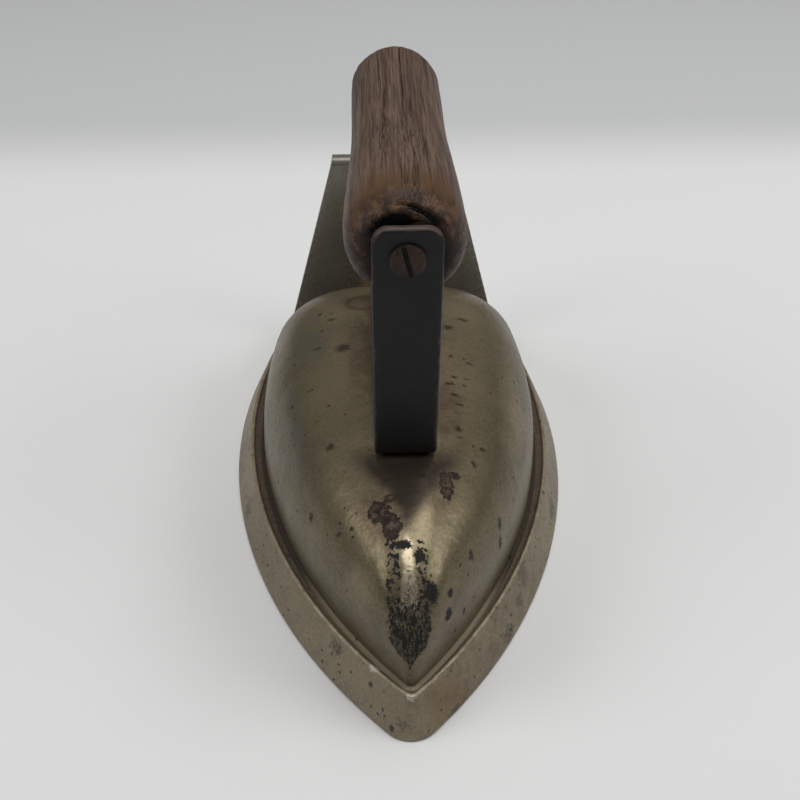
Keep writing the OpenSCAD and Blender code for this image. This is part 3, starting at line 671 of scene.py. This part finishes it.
def plated_sole(finish):
    tree = Surface("worn_plated_casting")
    place = tree.place
    broad, fine = tree.mottle(55.0)
    smudge = tree.span(tree.noise(place, 190.0, 7.0, 0.75), 0.36, 0.62)
    grain = tree.span(tree.noise(place, 1400.0, 3.0, 0.7), 0.35, 0.65)
    tone = tree.mix(tree.blend(0.45, tree.blend(0.4, broad, smudge), grain), finish.sole_dull, finish.sole)
    # Towards the tip the plate is brighter, and warmer on the right
    x, y, _ = tree.parts_mm(place)
    front = tree.span(y, -20, -75)
    tone = tree.stain(tone, finish.nickel_bright_and_highlight, front, 0.2)
    tone = tree.stain(tone, finish.rust_warm, tree.span(x, -4, 12), tree.blend(smudge, 0.5, 0.15), front)
    browned = Wear(tree, 150.0, 4.0).patches(BROWNED_TIP, break_up=0.8, soft=0.6)
    tone = tree.stain(tone, finish.sole_brown, browned, 0.55)
    # Rust on the ledge, stains on the skirt, a broken bright ridge with chips, and pits all over
    rust = tree.worn("ledge", 160.0, 0.35)
    rust_tone = tree.mix(fine, finish.grime_and_shade, finish.rust_warm)
    tone = tree.stain(tone, rust_tone, rust, tree.blend(front, 0.85, 0.15))
    stains = Wear(tree, 330.0, 2.6).patches(*SKIRT_STAINS, break_up=2.2, soft=0.5)
    tone = tree.stain(tone, finish.rust, stains, tree.blend(grain, 0.7, 0.3))
    gaps = tree.span(tree.noise(place, 260.0, 3.0), 0.4, 0.6, 0.35, 1.15)
    ridge = tree.times(tree.worn("ridge", 420.0, 0.1), tree.blend(front, 0.25, 0.6), gaps)
    tone = tree.mix(ridge, tone, finish.nickel_bright_and_highlight)
    chips = Wear(tree, 800.0, 1.2).patches(*RIM_CHIPS, break_up=1.6, soft=0.3)
    tone = tree.mix(chips, tone, finish.chip)
    pits = tree.most(tree.specks(210.0, 0.17, 0.3), tree.specks(620.0, 0.26, 0.3))
    tone = tree.stain(tone, finish.rust, pits, 0.8)
    bare = tree.most(rust, pits)
    height = tree.minus(tree.blend(0.5, tree.noise(place, 1300.0, 4.0, 0.6), smudge), tree.times(pits, 0.6))
    return tree.done(height, bump=0.6, depth=0.0003, Base_Color=tone, Metallic=tree.blend(bare, 0.5, 0.2),
                     Roughness=tree.blend(bare, tree.blend(fine, 0.36, 0.5), 0.65))


def dull_sheet(finish):
    tree = Surface("dull_nickel_sheet")
    broad, fine = tree.mottle(40.0)
    tone = tree.mix(tree.blend(0.4, broad, fine), finish.heel_dull, finish.heel)
    pits = tree.specks(260.0, 0.18, 0.2)
    tone = tree.stain(tone, finish.rust, pits, 0.8)
    height = tree.minus(tree.times(tree.noise(tree.place, 600.0), 0.3), pits)
    return tree.done(height, bump=0.06, depth=0.0001, Base_Color=tone, Roughness=tree.blend(fine, 0.24, 0.32),
                     Metallic=tree.blend(pits, 0.4, 0.2))


def black_enamel(finish, sizes):
    tree = Surface("black_enamel")
    broad, fine = tree.mottle(60.0)
    high = tree.span(tree.parts(tree.place)[2], sizes.strap_top - 5 * MM, sizes.strap_top)
    tone = tree.stain(finish.strap, finish.strap_worn, broad, 0.06)
    tone = tree.mix(tree.worn("edge", 330.0, tree.blend(high, -0.16, 0.12)), tone, finish.strap_worn)
    return tree.done(tree.noise(tree.place, 1100.0, 3.0, 0.5), bump=0.12, depth=0.0001, Base_Color=tone,
                     Roughness=tree.blend(fine, 0.38, 0.5), Specular_IOR_Level=0.24)


def weathered_wood(finish, sizes):
    tree = Surface("weathered_wood")
    place = tree.place
    # Grain runs along the grip: the patterns are stretched in that direction
    along, lines = tree.stretch(place, 1.0, 0.028, 1.0), tree.stretch(place, 1.0, 0.014, 1.0)
    grain = tree.blend(0.55, tree.noise(along, 420.0, 5.0, 0.6, 0.4), tree.noise(along, 2300.0, 3.0, 0.6))
    fissure = tree.times(tree.span(tree.seam(lines, 820.0, 3.0, 0.6, 0.2), 0.03, 0.008),
                         tree.span(tree.noise(along, 260.0), 0.38, 0.54))
    thread = tree.times(tree.span(tree.seam(lines, 1500.0, 2.0, 0.5), 0.035, 0.01),
                        tree.span(tree.noise(along, 420.0), 0.4, 0.6))
    cloud = tree.span(tree.noise(place, 60.0, 4.0, 0.6), 0.3, 0.7)
    tone = tree.mix(tree.span(grain, 0.41, 0.59), finish.wood_dark, finish.wood)
    tone = tree.stain(tone, finish.wood_brown_and_shade, thread, 0.55)
    tone = tree.stain(tone, finish.wood_dark, cloud, 0.25)
    # Heat from the strap has browned the front end and burnt it above the strap; the front end's lower part
    # is darkened further with painted shade
    front = sizes.tip + sizes.strap_front + sizes.strap_thick
    _, y, z = tree.parts_mm(tree.vector("SUBTRACT", place, (0.0, front, sizes.grip_height)))
    mottled = tree.noise(place, 260.0, 5.0, 0.65)
    edge = tree.minus(y, tree.times(mottled, 10.0))
    near = tree.span(edge, 5, 0)
    flecks = tree.span(tree.noise(place, 520.0, 3.0, 0.6), 0.52, 0.66)
    tone = tree.stain(tone, finish.wood_scorched, tree.span(edge, 14, 1), 0.8)
    tone = tree.stain(tone, finish.wood_brown_and_shade, tree.span(edge, 5, -3), tree.span(mottled, 0.64, 0.48), 0.85)
    # Painted shade: the front end is darker below about the grip's axis
    tone = tree.stain(tone, finish.wood_brown_and_shade, tree.span(z, 7, 1), near, 0.7)
    tone = tree.stain(tone, finish.wood_glow, flecks, near, tree.span(z, -8, 8, 0.3, 1.0), 0.75)
    tone = tree.mix(tree.span(tree.attribute("burnt"), 0.25, 0.6), tone, finish.char)
    tone = tree.stain(tone, finish.char, fissure, 0.7)
    tone = tree.mix(tree.span(tree.attribute("crack"), 0.2, 0.7), tone, finish.char)
    tone = tree.stain(tone, finish.wood_worn, tree.worn("rubbed", 300.0, 0.05), 0.75)
    height = tree.minus(grain, tree.times(fissure, 0.8))
    return tree.done(height, bump=0.55, depth=0.0005, Base_Color=tone, Specular_IOR_Level=0.2,
                     Roughness=tree.span(grain, 0.3, 0.7, 0.56, 0.4), Sheen_Weight=0.02, Sheen_Roughness=0.25)


def browned_steel(finish):
    tree = Surface("browned_steel")
    broad, fine = tree.mottle(120.0)
    tone = tree.stain(finish.rust, finish.rust_warm, tree.blend(0.5, broad, fine), 0.6)
    # The slot floors are painted near black
    tone = tree.mix(tree.attribute("slot"), tone, finish.char)
    return tree.done(fine, bump=0.5, depth=0.00015, Base_Color=tone, Metallic=0.6,
                     Roughness=tree.blend(fine, 0.45, 0.65))


def plain_sheet(name, tone, dark, rough, rougher=0.06, scale=110.0, metal=0.0):
    """Simple mineral or paper finish with a soft mottle."""
    tree = Surface(name)
    broad, fine = tree.mottle(scale)
    return tree.done(fine, bump=0.3, depth=0.0001, Base_Color=tree.mix(broad, (*tone, 1), (*dark, 1)),
                     Roughness=tree.blend(fine, rough - 0.06, rough + rougher), Metallic=metal)


def plain_metal(name, tone, dark, rough):
    """Simple metal with a soft mottle."""
    return plain_sheet(name, tone, dark, rough, 0.08, 90.0, 1.0)


# Pieces

class IronOperator:
    """What all the operators share."""
    bl_options = {"REGISTER", "UNDO"}

    def execute(self, context):
        self.build(context.scene.iron_sizes, context.scene.iron_finish)
        return {"FINISHED"}


class IRON_OT_sole(IronOperator, bpy.types.Operator):
    """Bevelled sole with its raised rim, ledge and worn edges"""
    bl_idname = "iron.sole"
    bl_label = "Sole"

    SKIRT_STEPS = 10
    LEAST_CORNER, LEAST_NOSE = 1.2 * MM, 0.3 * MM

    def build(self, sizes, finish):
        top, lean, ledge = sizes.sole_height, sizes.skirt_lean, sizes.ledge
        band, rim = sizes.sole_band, sizes.rim
        inner = lean + rim
        # Inset, height, inset of the back, and how far the row lies on the ridge and on the ledge
        rows = [(0.3 * MM, 0.0, 0.2 * MM, 0, 0), (0.1 * MM, 0.08 * MM, 0.06 * MM, 0, 0),
                (0.0, 0.3 * MM, 0.0, 0, 0), (0.0, band, 0.0, 0, 0)]
        for step in range(1, self.SKIRT_STEPS):
            share = step / self.SKIRT_STEPS
            rows.append((lean * share, band + (top - band) * share, 0.0, max(0.0, share * 4 - 3.2), 0))
        rows += [(lean - 0.12 * MM, top - 0.45 * MM, 0.0, 0.8, 0),
                 (lean + 0.02 * MM, top - 0.16 * MM, 0.05 * MM, 1, 0),
                 (lean + 0.22 * MM, top - 0.02 * MM, 0.2 * MM, 1, 0),
                 (lean + 0.55 * rim, top, 0.4 * MM, 1, 0),
                 (lean + 0.85 * rim, top - 0.06 * MM, lean + 0.6 * rim, 0.9, 0.1),
                 (inner, top - 0.25 * MM, inner, 0.6, 0.5),
                 (inner + 0.12 * MM, ledge + 0.7 * MM, inner, 0.1, 0.9),
                 (inner + 0.35 * MM, ledge + 0.52 * MM, inner + 0.3 * MM, 0, 1),
                 (inner + 0.7 * MM, ledge + 0.42 * MM, inner + 0.6 * MM, 0, 1),
                 (inner + 1.8 * MM, ledge + 0.2 * MM, inner + 1.6 * MM, 0, 1),
                 (inner + 3.2 * MM, ledge, inner + 3.2 * MM, 0, 1)]
        rings = []
        for inset, height, behind, _, _ in rows:
            corner = max(sizes.sole_corner - inset, self.LEAST_CORNER)
            climb = min(1.0, max(0.0, (height - band) / (top - band))) if inset < lean else 1.0
            nose = sizes.sole_nose + (sizes.rim_nose - sizes.sole_nose) * climb
            nose = max(nose - max(0.0, inset - lean), self.LEAST_NOSE)
            points = plan_outline(sizes.sole_half - inset, inset, nose, sizes.sole_back - behind, corner,
                                  sizes.widest)
            rings.append(lay_ring(points, height, sizes.tip))
        marks = {"ridge": lambda step, turn: rows[step][3], "ledge": lambda step, turn: rows[step][4]}
        piece = extrude_rings("bevelled_sole", rings, True, marks)
        shade(piece, 50)
        hand_over(piece, "sole_plate", plated_sole(finish))


class IRON_OT_cover(IronOperator, bpy.types.Operator):
    """Pressed cover: a closed shell with an out-turned hem, a flat seat and the opening for the terminals"""
    bl_idname = "iron.cover"
    bl_label = "Cover"

    OUTSIDE_STEPS, INSIDE_STEPS = 52, 12
    # Height of the hem's fillet, softness of the seat's edge, and gap round the terminal block
    FILLET, SEAT_SOFT, BLOCK_GAP = 1.9 * MM, 0.12 * MM, 0.4 * MM

    def level(self, sizes, share, inset):
        """One level of the shell, at a share of its height, outside or inset by the sheet."""
        seat = sizes.seat - inset
        rise = seat - sizes.ledge + sizes.crown
        points = plan_outline(sizes.cover_half - inset, sizes.cover_tip + inset,
                              sizes.cover_nose + sizes.cover_nose_growth * share,
                              sizes.cover_back - inset, sizes.cover_corner, sizes.widest)
        front, side, back = (
            wall(share, power) for power in (sizes.nose_power, sizes.side_power, sizes.back_power))
        height = soft_cap(sizes.ledge + rise * share, seat, self.SEAT_SOFT)
        ring = []
        for x, y in points:
            reach = y - sizes.widest
            along = sizes.tip + sizes.widest + reach * (front if reach < 0 else back)
            ring.append(Vector((x * side, along, height)))
        return ring

    def build(self, sizes, finish):
        ledge, hem = sizes.ledge, sizes.hem
        rings = [self.level(sizes, math.sin(math.pi / 2 * (1 - i / self.INSIDE_STEPS)), sizes.cover_sheet)
                 for i in range(self.INSIDE_STEPS + 1)]
        for grown, height in ((hem - 0.15 * MM, 0.0), (hem, 0.15 * MM), (hem, 0.75 * MM),
                              (hem - 0.1 * MM, 0.93 * MM), (hem - 0.3 * MM, 1.0 * MM), (0.6 * hem, 1.02 * MM),
                              (0.36 * hem, 1.1 * MM), (0.16 * hem, 1.28 * MM), (0.05 * hem, 1.55 * MM)):
            points = plan_outline(sizes.cover_half + grown, sizes.cover_tip - grown, sizes.cover_nose + grown,
                                  sizes.cover_back + grown, sizes.cover_corner + grown, sizes.widest)
            rings.append(lay_ring(points, ledge + height, sizes.tip))
        start = math.asin(self.FILLET / (sizes.seat - ledge + sizes.crown))
        rings += [self.level(sizes, math.sin(start + (math.pi / 2 - start) * i / self.OUTSIDE_STEPS), 0.0)
                  for i in range(self.OUTSIDE_STEPS + 1)]
        marks = {"foot": lambda step, turn: smooth_step(
            rings[step][turn].z, ledge + 2.6 * MM, ledge + 1.2 * MM)}
        piece = extrude_rings("pressed_cover", rings, False, marks)
        ripple(piece, 0.022, 0.3 * MM)
        low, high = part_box("terminal_block")
        cut_box(piece, (low.x - self.BLOCK_GAP, low.y, 0.0),
                (high.x + self.BLOCK_GAP, CAD_BOX[1].y, high.z + self.BLOCK_GAP))
        shade(piece, 40)
        hand_over(piece, "cover", nickel_cover(finish))


class IRON_OT_strap(IronOperator, bpy.types.Operator):
    """Flat bar bent to the handle's U"""
    bl_idname = "iron.strap"
    bl_label = "Strap"

    BEND_STEPS, CORNER_STEPS = 12, 4
    STATION_GAP = 3 * MM
    EASED = 0.7 * MM
    # Stations near the ends, and points of the flat faces that hold the wear to the edges
    END_STATIONS = (0.0, 0.15 * MM, 0.4 * MM, 0.8 * MM, 1.4 * MM, 2.2 * MM, 3.1 * MM)
    INWARD = (2.0 * MM, 5.0 * MM)

    def stations(self, corners, radius):
        """Places and directions along the bent bar."""
        found = [(corners[0], (corners[1] - corners[0]).normalized())]
        for before, at, after in zip(corners, corners[1:], corners[2:]):
            ahead, leaving = (at - before).normalized(), (after - at).normalized()
            angle = math.atan2(ahead.x * leaving.y - ahead.y * leaving.x, ahead.dot(leaving))
            side = math.copysign(1.0, angle)
            centre = at - ahead * radius * math.tan(abs(angle) / 2)
            centre += Vector((-ahead.y, ahead.x)) * radius * side
            for step in range(self.BEND_STEPS + 1):
                way = Matrix.Rotation(angle * step / self.BEND_STEPS, 2) @ ahead
                found.append((centre - Vector((-way.y, way.x)) * radius * side, way))
        found.append((corners[-1], (corners[-1] - corners[-2]).normalized()))
        spaced = [found[0]]
        for place, way in found[1:]:
            last = spaced[-1][0]
            pieces = max(1, round((place - last).length / self.STATION_GAP))
            spaced += [(last.lerp(place, i / pieces), way) for i in range(1, pieces)]
            spaced.append((place, way))
        return spaced

    def build(self, sizes, finish):
        half, thick, eased, corner = sizes.strap_width / 2, sizes.strap_thick / 2, self.EASED, sizes.strap_end
        front = sizes.tip + sizes.strap_front + thick
        rear = front + sizes.grip_length + 2 * thick
        corners = [Vector(p) for p in (
            (front, sizes.strap_top), (front, sizes.seat + thick),
            (sizes.tip + sizes.strap_foot, sizes.seat + thick),
            (rear, sizes.strap_crank), (rear, sizes.strap_top))]
        line = self.stations(corners, sizes.strap_bend)
        run = [0.0]
        for (first, _), (second, _) in zip(line, line[1:]):
            run.append(run[-1] + (second - first).length)
        ends = (*self.END_STATIONS, corner)
        extra = [(e, line[0][0] + line[0][1] * e, line[0][1]) for e in ends]
        extra += [(run[-1] - e, line[-1][0] - line[-1][1] * e, line[-1][1]) for e in ends]
        inner = [(r, place, way) for r, (place, way) in zip(run, line) if corner < r < run[-1] - corner]
        path = sorted(extra + inner, key=lambda row: row[0])
        # Section: four eased corners, with points between them on the flat faces
        section, edges = [], []
        for quarter, (sx, sy) in enumerate(((1, 1), (-1, 1), (-1, -1), (1, -1))):
            for step in range(self.CORNER_STEPS + 1):
                turn = math.pi / 2 * (quarter + step / self.CORNER_STEPS)
                section.append((sx * (half - eased) + eased * math.cos(turn),
                                sy * (thick - eased) + eased * math.sin(turn)))
                edges.append(1.0)
            if quarter % 2 == 0:
                inward = (*self.INWARD, half, *(2 * half - reach for reach in reversed(self.INWARD)))
                section += [(sx * (half - reach), sy * thick) for reach in inward]
                edges += [0.0] * len(inward)
        rings = []
        for reach, place, way in path:
            end = min(reach, run[-1] - reach)
            narrow, thin = 1 - round_off(corner, end) / half, 1 - round_off(eased, end) / thick
            across = Vector((-way.y, way.x))
            ring = []
            for wide, deep in section:
                spot = place + across * (deep * thin)
                ring.append(Vector((wide * narrow, spot.x, spot.y)))
            rings.append(ring)
        last = len(rings) - 1
        marks = {"edge": lambda step, turn: 1.0 if step < 3 or step > last - 3 else edges[turn]}
        piece = extrude_rings("bent_strap", rings, True, marks)
        ripple(piece, 0.02, 0.12 * MM)
        shade(piece, 40)
        hand_over(piece, "handle_strap", black_enamel(finish, sizes))


class IRON_OT_grip(IronOperator, bpy.types.Operator):
    """Turned grip with its cracks, worn rim and the burnt hollow above the strap"""
    bl_idname = "iron.grip"
    bl_label = "Grip"

    # Angle from the top in degrees, start and end along the grip in millimetres, depth in millimetres
    CRACKS = (
        (5, 52, 87, 0.4), (2, 24, 47, 0.2), (14, 42, 56, 0.35), (-24, 58, 84, 0.3), (30, 34, 70, 0.25),
        (-50, 44, 76, 0.25), (58, 46, 84, 0.3), (96, 36, 84, 0.4), (-92, 28, 80, 0.35), (142, 30, 76, 0.35),
        (-124, 46, 86, 0.4), (-150, 16, 60, 0.4), (172, 40, 84, 0.4))
    # Shares of the grip's length: the swell's place and width, and the rounded ends
    SWELL_PLACE, SWELL_WIDTH, FRONT_SHARE, REAR_SHARE = 0.13, 0.3, 0.1, 0.03
    # Rows of points along the front end, the body and the rear end, and points around
    FRONT_ROWS, BODY_ROWS, REAR_ROWS, AROUND = 34, 96, 10, 300
    # How far in and back the burnt hollow goes, and the place and width of the rubbed rim
    BURN_IN, BURN_BACK, RUB_PLACE, RUB_WIDTH = 1.2 * MM, 0.9 * MM, 3.6 * MM, 1.6 * MM

    def radius(self, sizes, y):
        total = sizes.grip_length
        swell = math.exp(-((y / total - self.SWELL_PLACE) / self.SWELL_WIDTH) ** 2)
        body = sizes.grip_waist + (sizes.grip_swell - sizes.grip_waist) * swell
        for face, reach, share in ((sizes.grip_front, y, self.FRONT_SHARE),
                                   (sizes.grip_rear, total - y, self.REAR_SHARE)):
            if reach < share * total:
                return face + (body - face) * (1 - round_off(1.0, reach / (share * total)))
        return body

    def crack(self, y, degrees):
        """How deep a crack is at a place, in millimetres."""
        deep = 0.0
        for angle, start, end, depth in self.CRACKS:
            if not start < y < end:
                continue
            drift = 1.6 * waver(y * 0.11, angle * 0.37, 0.0) + 0.5 * waver(y * 0.6, angle, 1.0)
            away = abs((degrees - angle - drift + 180) % 360 - 180)
            share = (y - start) / (end - start)
            taper = 1.0 if end > 84 else math.sin(math.pi * share) ** 0.6
            deep = max(deep, depth * taper * max(0.0, 1 - away / 1.05))
        return deep

    def burn(self, y, degrees):
        """How far the front shoulder is burnt away above the strap, from none to all."""
        spread = max(0.0, 1 - (abs(degrees + 8) / 62) ** 4)
        ragged = 0.4 * waver(degrees * 0.05, y * 0.4, 3.0) + 0.2 * waver(degrees * 0.25, y, 5.0)
        hollow = spread * smooth_step(0.75 + ragged - y, 0.0, 0.5)
        # A splinter stands between the hollow and a slit that runs down to the right
        slit_y = 1.5 - 0.022 * (degrees + 16)
        slit = max(0.0, 1 - abs(y - slit_y - ragged * 0.5) / 0.45)
        slit *= 0.75 * smooth_step(degrees, -22, 12) * smooth_step(degrees, 52, 40)
        splinter = smooth_step(0.45 - abs(y - slit_y + 0.75), 0.0, 0.3) if -20 < degrees < 36 else 0.0
        return max(hollow * (1 - 0.9 * splinter), slit)

    def build(self, sizes, finish):
        front = sizes.tip + sizes.strap_front + sizes.strap_thick
        first, last = self.FRONT_SHARE, 1 - self.REAR_SHARE
        along = [first * (i / self.FRONT_ROWS) ** 1.6 for i in range(self.FRONT_ROWS + 1)]
        along += [first + (last - first) * i / self.BODY_ROWS for i in range(1, self.BODY_ROWS + 1)]
        along += [1 - (1 - last) * (1 - i / self.REAR_ROWS) ** 2 for i in range(1, self.REAR_ROWS + 1)]
        angles = [360 * i / self.AROUND for i in range(self.AROUND)]
        rings, cracks, burns, rubs = [], [], [], []
        for y in (sizes.grip_length * share for share in along):
            plain = self.radius(sizes, y)
            ring, row_crack, row_burn = [], [], []
            for degrees in angles:
                turned = (degrees + 180) % 360 - 180
                turn = math.radians(turned)
                way = Vector((math.sin(turn), 0.0, math.cos(turn)))
                crack = self.crack(y / MM, turned)
                burnt = self.burn(y / MM, turned)
                uneven = waver(way.x * 1.3, y / MM * 0.03, way.z * 1.3) * 0.35
                uneven += waver(way.x * 9, y / MM * 0.05, way.z * 9) * 0.12
                hold = smooth_step(y, 0.0, 4 * MM)
                out = plain + (uneven * hold - crack) * MM - self.BURN_IN * burnt
                back = front + y + self.BURN_BACK * burnt
                ring.append(Vector((way.x * out, back, sizes.grip_height + way.z * out)))
                row_crack.append(min(1.0, crack / 0.35))
                row_burn.append(burnt)
            rings.append(ring)
            cracks.append(row_crack)
            burns.append(row_burn)
            rub = max(0.0, 1 - abs(y - self.RUB_PLACE) / self.RUB_WIDTH)
            rubs.append([rub * smooth_step(-math.cos(math.radians(a)), -0.1, 0.5) for a in angles])
        marks = {"crack": lambda step, turn: cracks[step][turn],
                 "burnt": lambda step, turn: burns[step][turn],
                 "rubbed": lambda step, turn: rubs[step][turn]}
        piece = extrude_rings("turned_grip", rings, True, marks)
        shade(piece, 60)
        hand_over(piece, "grip", weathered_wood(finish, sizes))


class IRON_OT_heel_plate(IronOperator, bpy.types.Operator):
    """Upright heel sheet with its lips and plug window"""
    bl_idname = "iron.heel_plate"
    bl_label = "Heel plate"

    def build(self, sizes, finish):
        eased_copy("heel_plate", 0.3 * MM, dull_sheet(finish))


class IRON_OT_fasteners(IronOperator, bpy.types.Operator):
    """Studs, nuts, washers and screws that show"""
    bl_idname = "iron.fasteners"
    bl_label = "Fasteners"

    # Depth of a slot's floor below the top of its head, and how level that floor is
    SLOT_DEPTH, LEVEL = (0.5 * MM, 0.8 * MM), 0.97

    def mark_slots(self, piece):
        """Marks the floors of the slots, which are painted dark."""
        low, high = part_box("grip_screws")
        marks = piece.data.attributes.new("slot", "FLOAT", "POINT")
        for face in piece.data.polygons:
            depth = min(face.center.y - low.y, high.y - face.center.y)
            if abs(face.normal.y) > self.LEVEL and self.SLOT_DEPTH[0] < depth < self.SLOT_DEPTH[1]:
                for index in face.vertices:
                    marks.data[index].value = 1.0

    def build(self, sizes, finish):
        steel = plain_metal("plain_steel", (0.21, 0.195, 0.175), (0.11, 0.088, 0.07), 0.44)
        brown = browned_steel(finish)
        for node, edge, slot, material in (
                ("clamp_studs", 0.5, "steel", steel), ("strap_washers", 0.3, "steel", steel),
                ("strap_nuts", 0.5, "steel", steel), ("grip_screws", 0.35, "rusty_steel", brown),
                ("heel_screws", 0.3, "rusty_steel", brown), ("block_screws", 0.25, "steel", steel)):
            piece = eased_copy(node, edge * MM, material)
            if node == "grip_screws":
                self.mark_slots(piece)
        for node in ("clamp_washers", "clamp_nuts"):
            paint_node(node, steel)


class IRON_OT_terminals(IronOperator, bpy.types.Operator):
    """Porcelain block with its plug pins"""
    bl_idname = "iron.terminals"
    bl_label = "Terminals"

    def build(self, sizes, finish):
        brass = plain_metal("tarnished_brass", (0.5, 0.37, 0.16), (0.26, 0.17, 0.07), 0.36)
        porcelain = plain_sheet("glazed_porcelain", (0.72, 0.68, 0.58), (0.58, 0.52, 0.42), 0.25)
        eased_copy("terminal_block", 0.7 * MM, porcelain)
        eased_copy("terminal_pins", 0.35 * MM, brass)
        paint_node("terminal_nuts", brass)


class IRON_OT_heating_pack(IronOperator, bpy.types.Operator):
    """Finishes of the pieces inside the cover"""
    bl_idname = "iron.heating_pack"
    bl_label = "Heating pack"

    def build(self, sizes, finish):
        mica = plain_sheet("sheet_mica", (0.5, 0.4, 0.26), (0.36, 0.27, 0.16), 0.3)
        ribbon = plain_metal("resistance_ribbon", (0.4, 0.37, 0.33), (0.24, 0.21, 0.19), 0.4)
        board = plain_sheet("grey_millboard", (0.62, 0.61, 0.58), (0.5, 0.49, 0.46), 0.8)
        iron = plain_metal("plain_casting", (0.1, 0.095, 0.09), (0.06, 0.05, 0.045), 0.55)
        for node, material in (("lower_mica", mica), ("upper_mica", mica), ("heating_element", ribbon),
                               ("lead_strips", ribbon), ("asbestos_sheet", board), ("pressure_plate", iron)):
            paint_node(node, material)


class IRON_OT_stage(IronOperator, bpy.types.Operator):
    """Pale floor, soft light and the camera"""
    bl_idname = "iron.stage"
    bl_label = "Stage"

    CAMERA_PLACE = (-0.00886, -0.21736, 0.23142)
    CAMERA_PITCH, CAMERA_HEADING, CAMERA_ROLL = 41.306, -2.289, 0.335
    CAMERA_LENS, CAMERA_SENSOR = 45.0, 36.0
    FLOOR_SIZE = 6.0
    # Where the floor turns into the greyer sheet behind
    BACKDROP = (0.2, 0.27)
    # Name, place, target, size and power
    LAMPS = (("overhead", (0.1, 0.15, 1.1), (0, 0, 0), 1.0, 8.0),
             ("left", (-0.9, -0.1, 0.7), (0, 0, 0.05), 0.7, 4.0),
             ("right", (0.9, -0.1, 0.7), (0, 0, 0.05), 0.7, 4.0))

    def stand(self, data, place, turn):
        """A new object for a camera or a lamp."""
        item = bpy.data.objects.new(data.name, data)
        bpy.context.scene.collection.objects.link(item)
        item.matrix_world = Matrix.Translation(place) @ turn
        return item

    def camera(self):
        data = bpy.data.cameras.new("photo_view")
        data.lens, data.sensor_width = self.CAMERA_LENS, self.CAMERA_SENSOR
        data.clip_start, data.clip_end = 0.01, 20.0
        turn = (Matrix.Rotation(math.radians(self.CAMERA_HEADING), 4, "Z")
                @ Matrix.Rotation(math.radians(90 - self.CAMERA_PITCH), 4, "X")
                @ Matrix.Rotation(math.radians(self.CAMERA_ROLL), 4, "Z"))
        bpy.context.scene.camera = self.stand(data, self.CAMERA_PLACE, turn)

    def floor(self, finish):
        deselect()
        bpy.ops.mesh.primitive_plane_add(size=self.FLOOR_SIZE)
        floor = bpy.context.object
        floor.name = "floor"
        tree = Surface("pale_paper")
        behind = tree.span(tree.parts(tree.place)[1], *self.BACKDROP)
        floor.data.materials.append(tree.done(
            Base_Color=tree.mix(behind, finish.floor, finish.wall), Roughness=0.9, Specular_IOR_Level=0.1))

    def lamp(self, name, place, target, size, power):
        data = bpy.data.lights.new(name, "AREA")
        data.shape, data.size, data.energy = "DISK", size, power
        way = Vector(target) - Vector(place)
        self.stand(data, place, way.to_track_quat("-Z", "Y").to_matrix().to_4x4())

    def sky(self):
        world = bpy.data.worlds.new("soft_room")
        bpy.context.scene.world = world
        world.use_nodes = True
        tree = Tree(world.node_tree)
        way = tree.parts(tree.add("ShaderNodeTexCoord").outputs["Generated"])
        # Bright overhead and at the back, darker on the side where the camera stands
        level = tree.plus(tree.span(way[1], -0.95, 0.1, 0.5, 0.94), tree.span(way[2], 0.2, 1.0, 0.0, 0.26))
        tree.feed(world.node_tree.nodes["Background"].inputs["Strength"], level)

    def build(self, sizes, finish):
        self.camera()
        self.floor(finish)
        for lamp in self.LAMPS:
            self.lamp(*lamp)
        self.sky()
        bpy.context.scene.view_settings.view_transform = "Standard"


class IRON_PT_panel(bpy.types.Panel):
    """The iron's pieces and settings"""
    bl_idname = "IRON_PT_panel"
    bl_label = "Flat iron"
    bl_space_type = "VIEW_3D"
    bl_region_type = "UI"
    bl_category = "Flat iron"

    def draw(self, context):
        for operator in OPERATORS:
            self.layout.operator(operator.bl_idname)
        for settings in (context.scene.iron_sizes, context.scene.iron_finish):
            for key in settings.__annotations__:
                self.layout.prop(settings, key)


OPERATORS = (IRON_OT_stage, IRON_OT_sole, IRON_OT_cover, IRON_OT_strap, IRON_OT_grip, IRON_OT_heel_plate,
             IRON_OT_fasteners, IRON_OT_terminals, IRON_OT_heating_pack)
CLASSES = (IronSizes, IronFinish, *OPERATORS, IRON_PT_panel)


def register():
    for item in CLASSES:
        bpy.utils.register_class(item)
    bpy.types.Scene.iron_sizes = bpy.props.PointerProperty(type=IronSizes)
    bpy.types.Scene.iron_finish = bpy.props.PointerProperty(type=IronFinish)


def unregister():
    del bpy.types.Scene.iron_finish
    del bpy.types.Scene.iron_sizes
    for item in reversed(CLASSES):
        bpy.utils.unregister_class(item)


def main():
    register()
    build_groups()
    bpy.ops.iron.stage()
    bpy.ops.iron.sole()
    bpy.ops.iron.cover()
    bpy.ops.iron.strap()
    bpy.ops.iron.grip()
    bpy.ops.iron.heel_plate()
    bpy.ops.iron.fasteners()
    bpy.ops.iron.terminals()
    bpy.ops.iron.heating_pack()
    deselect()


if __name__ == "__main__":
    main()
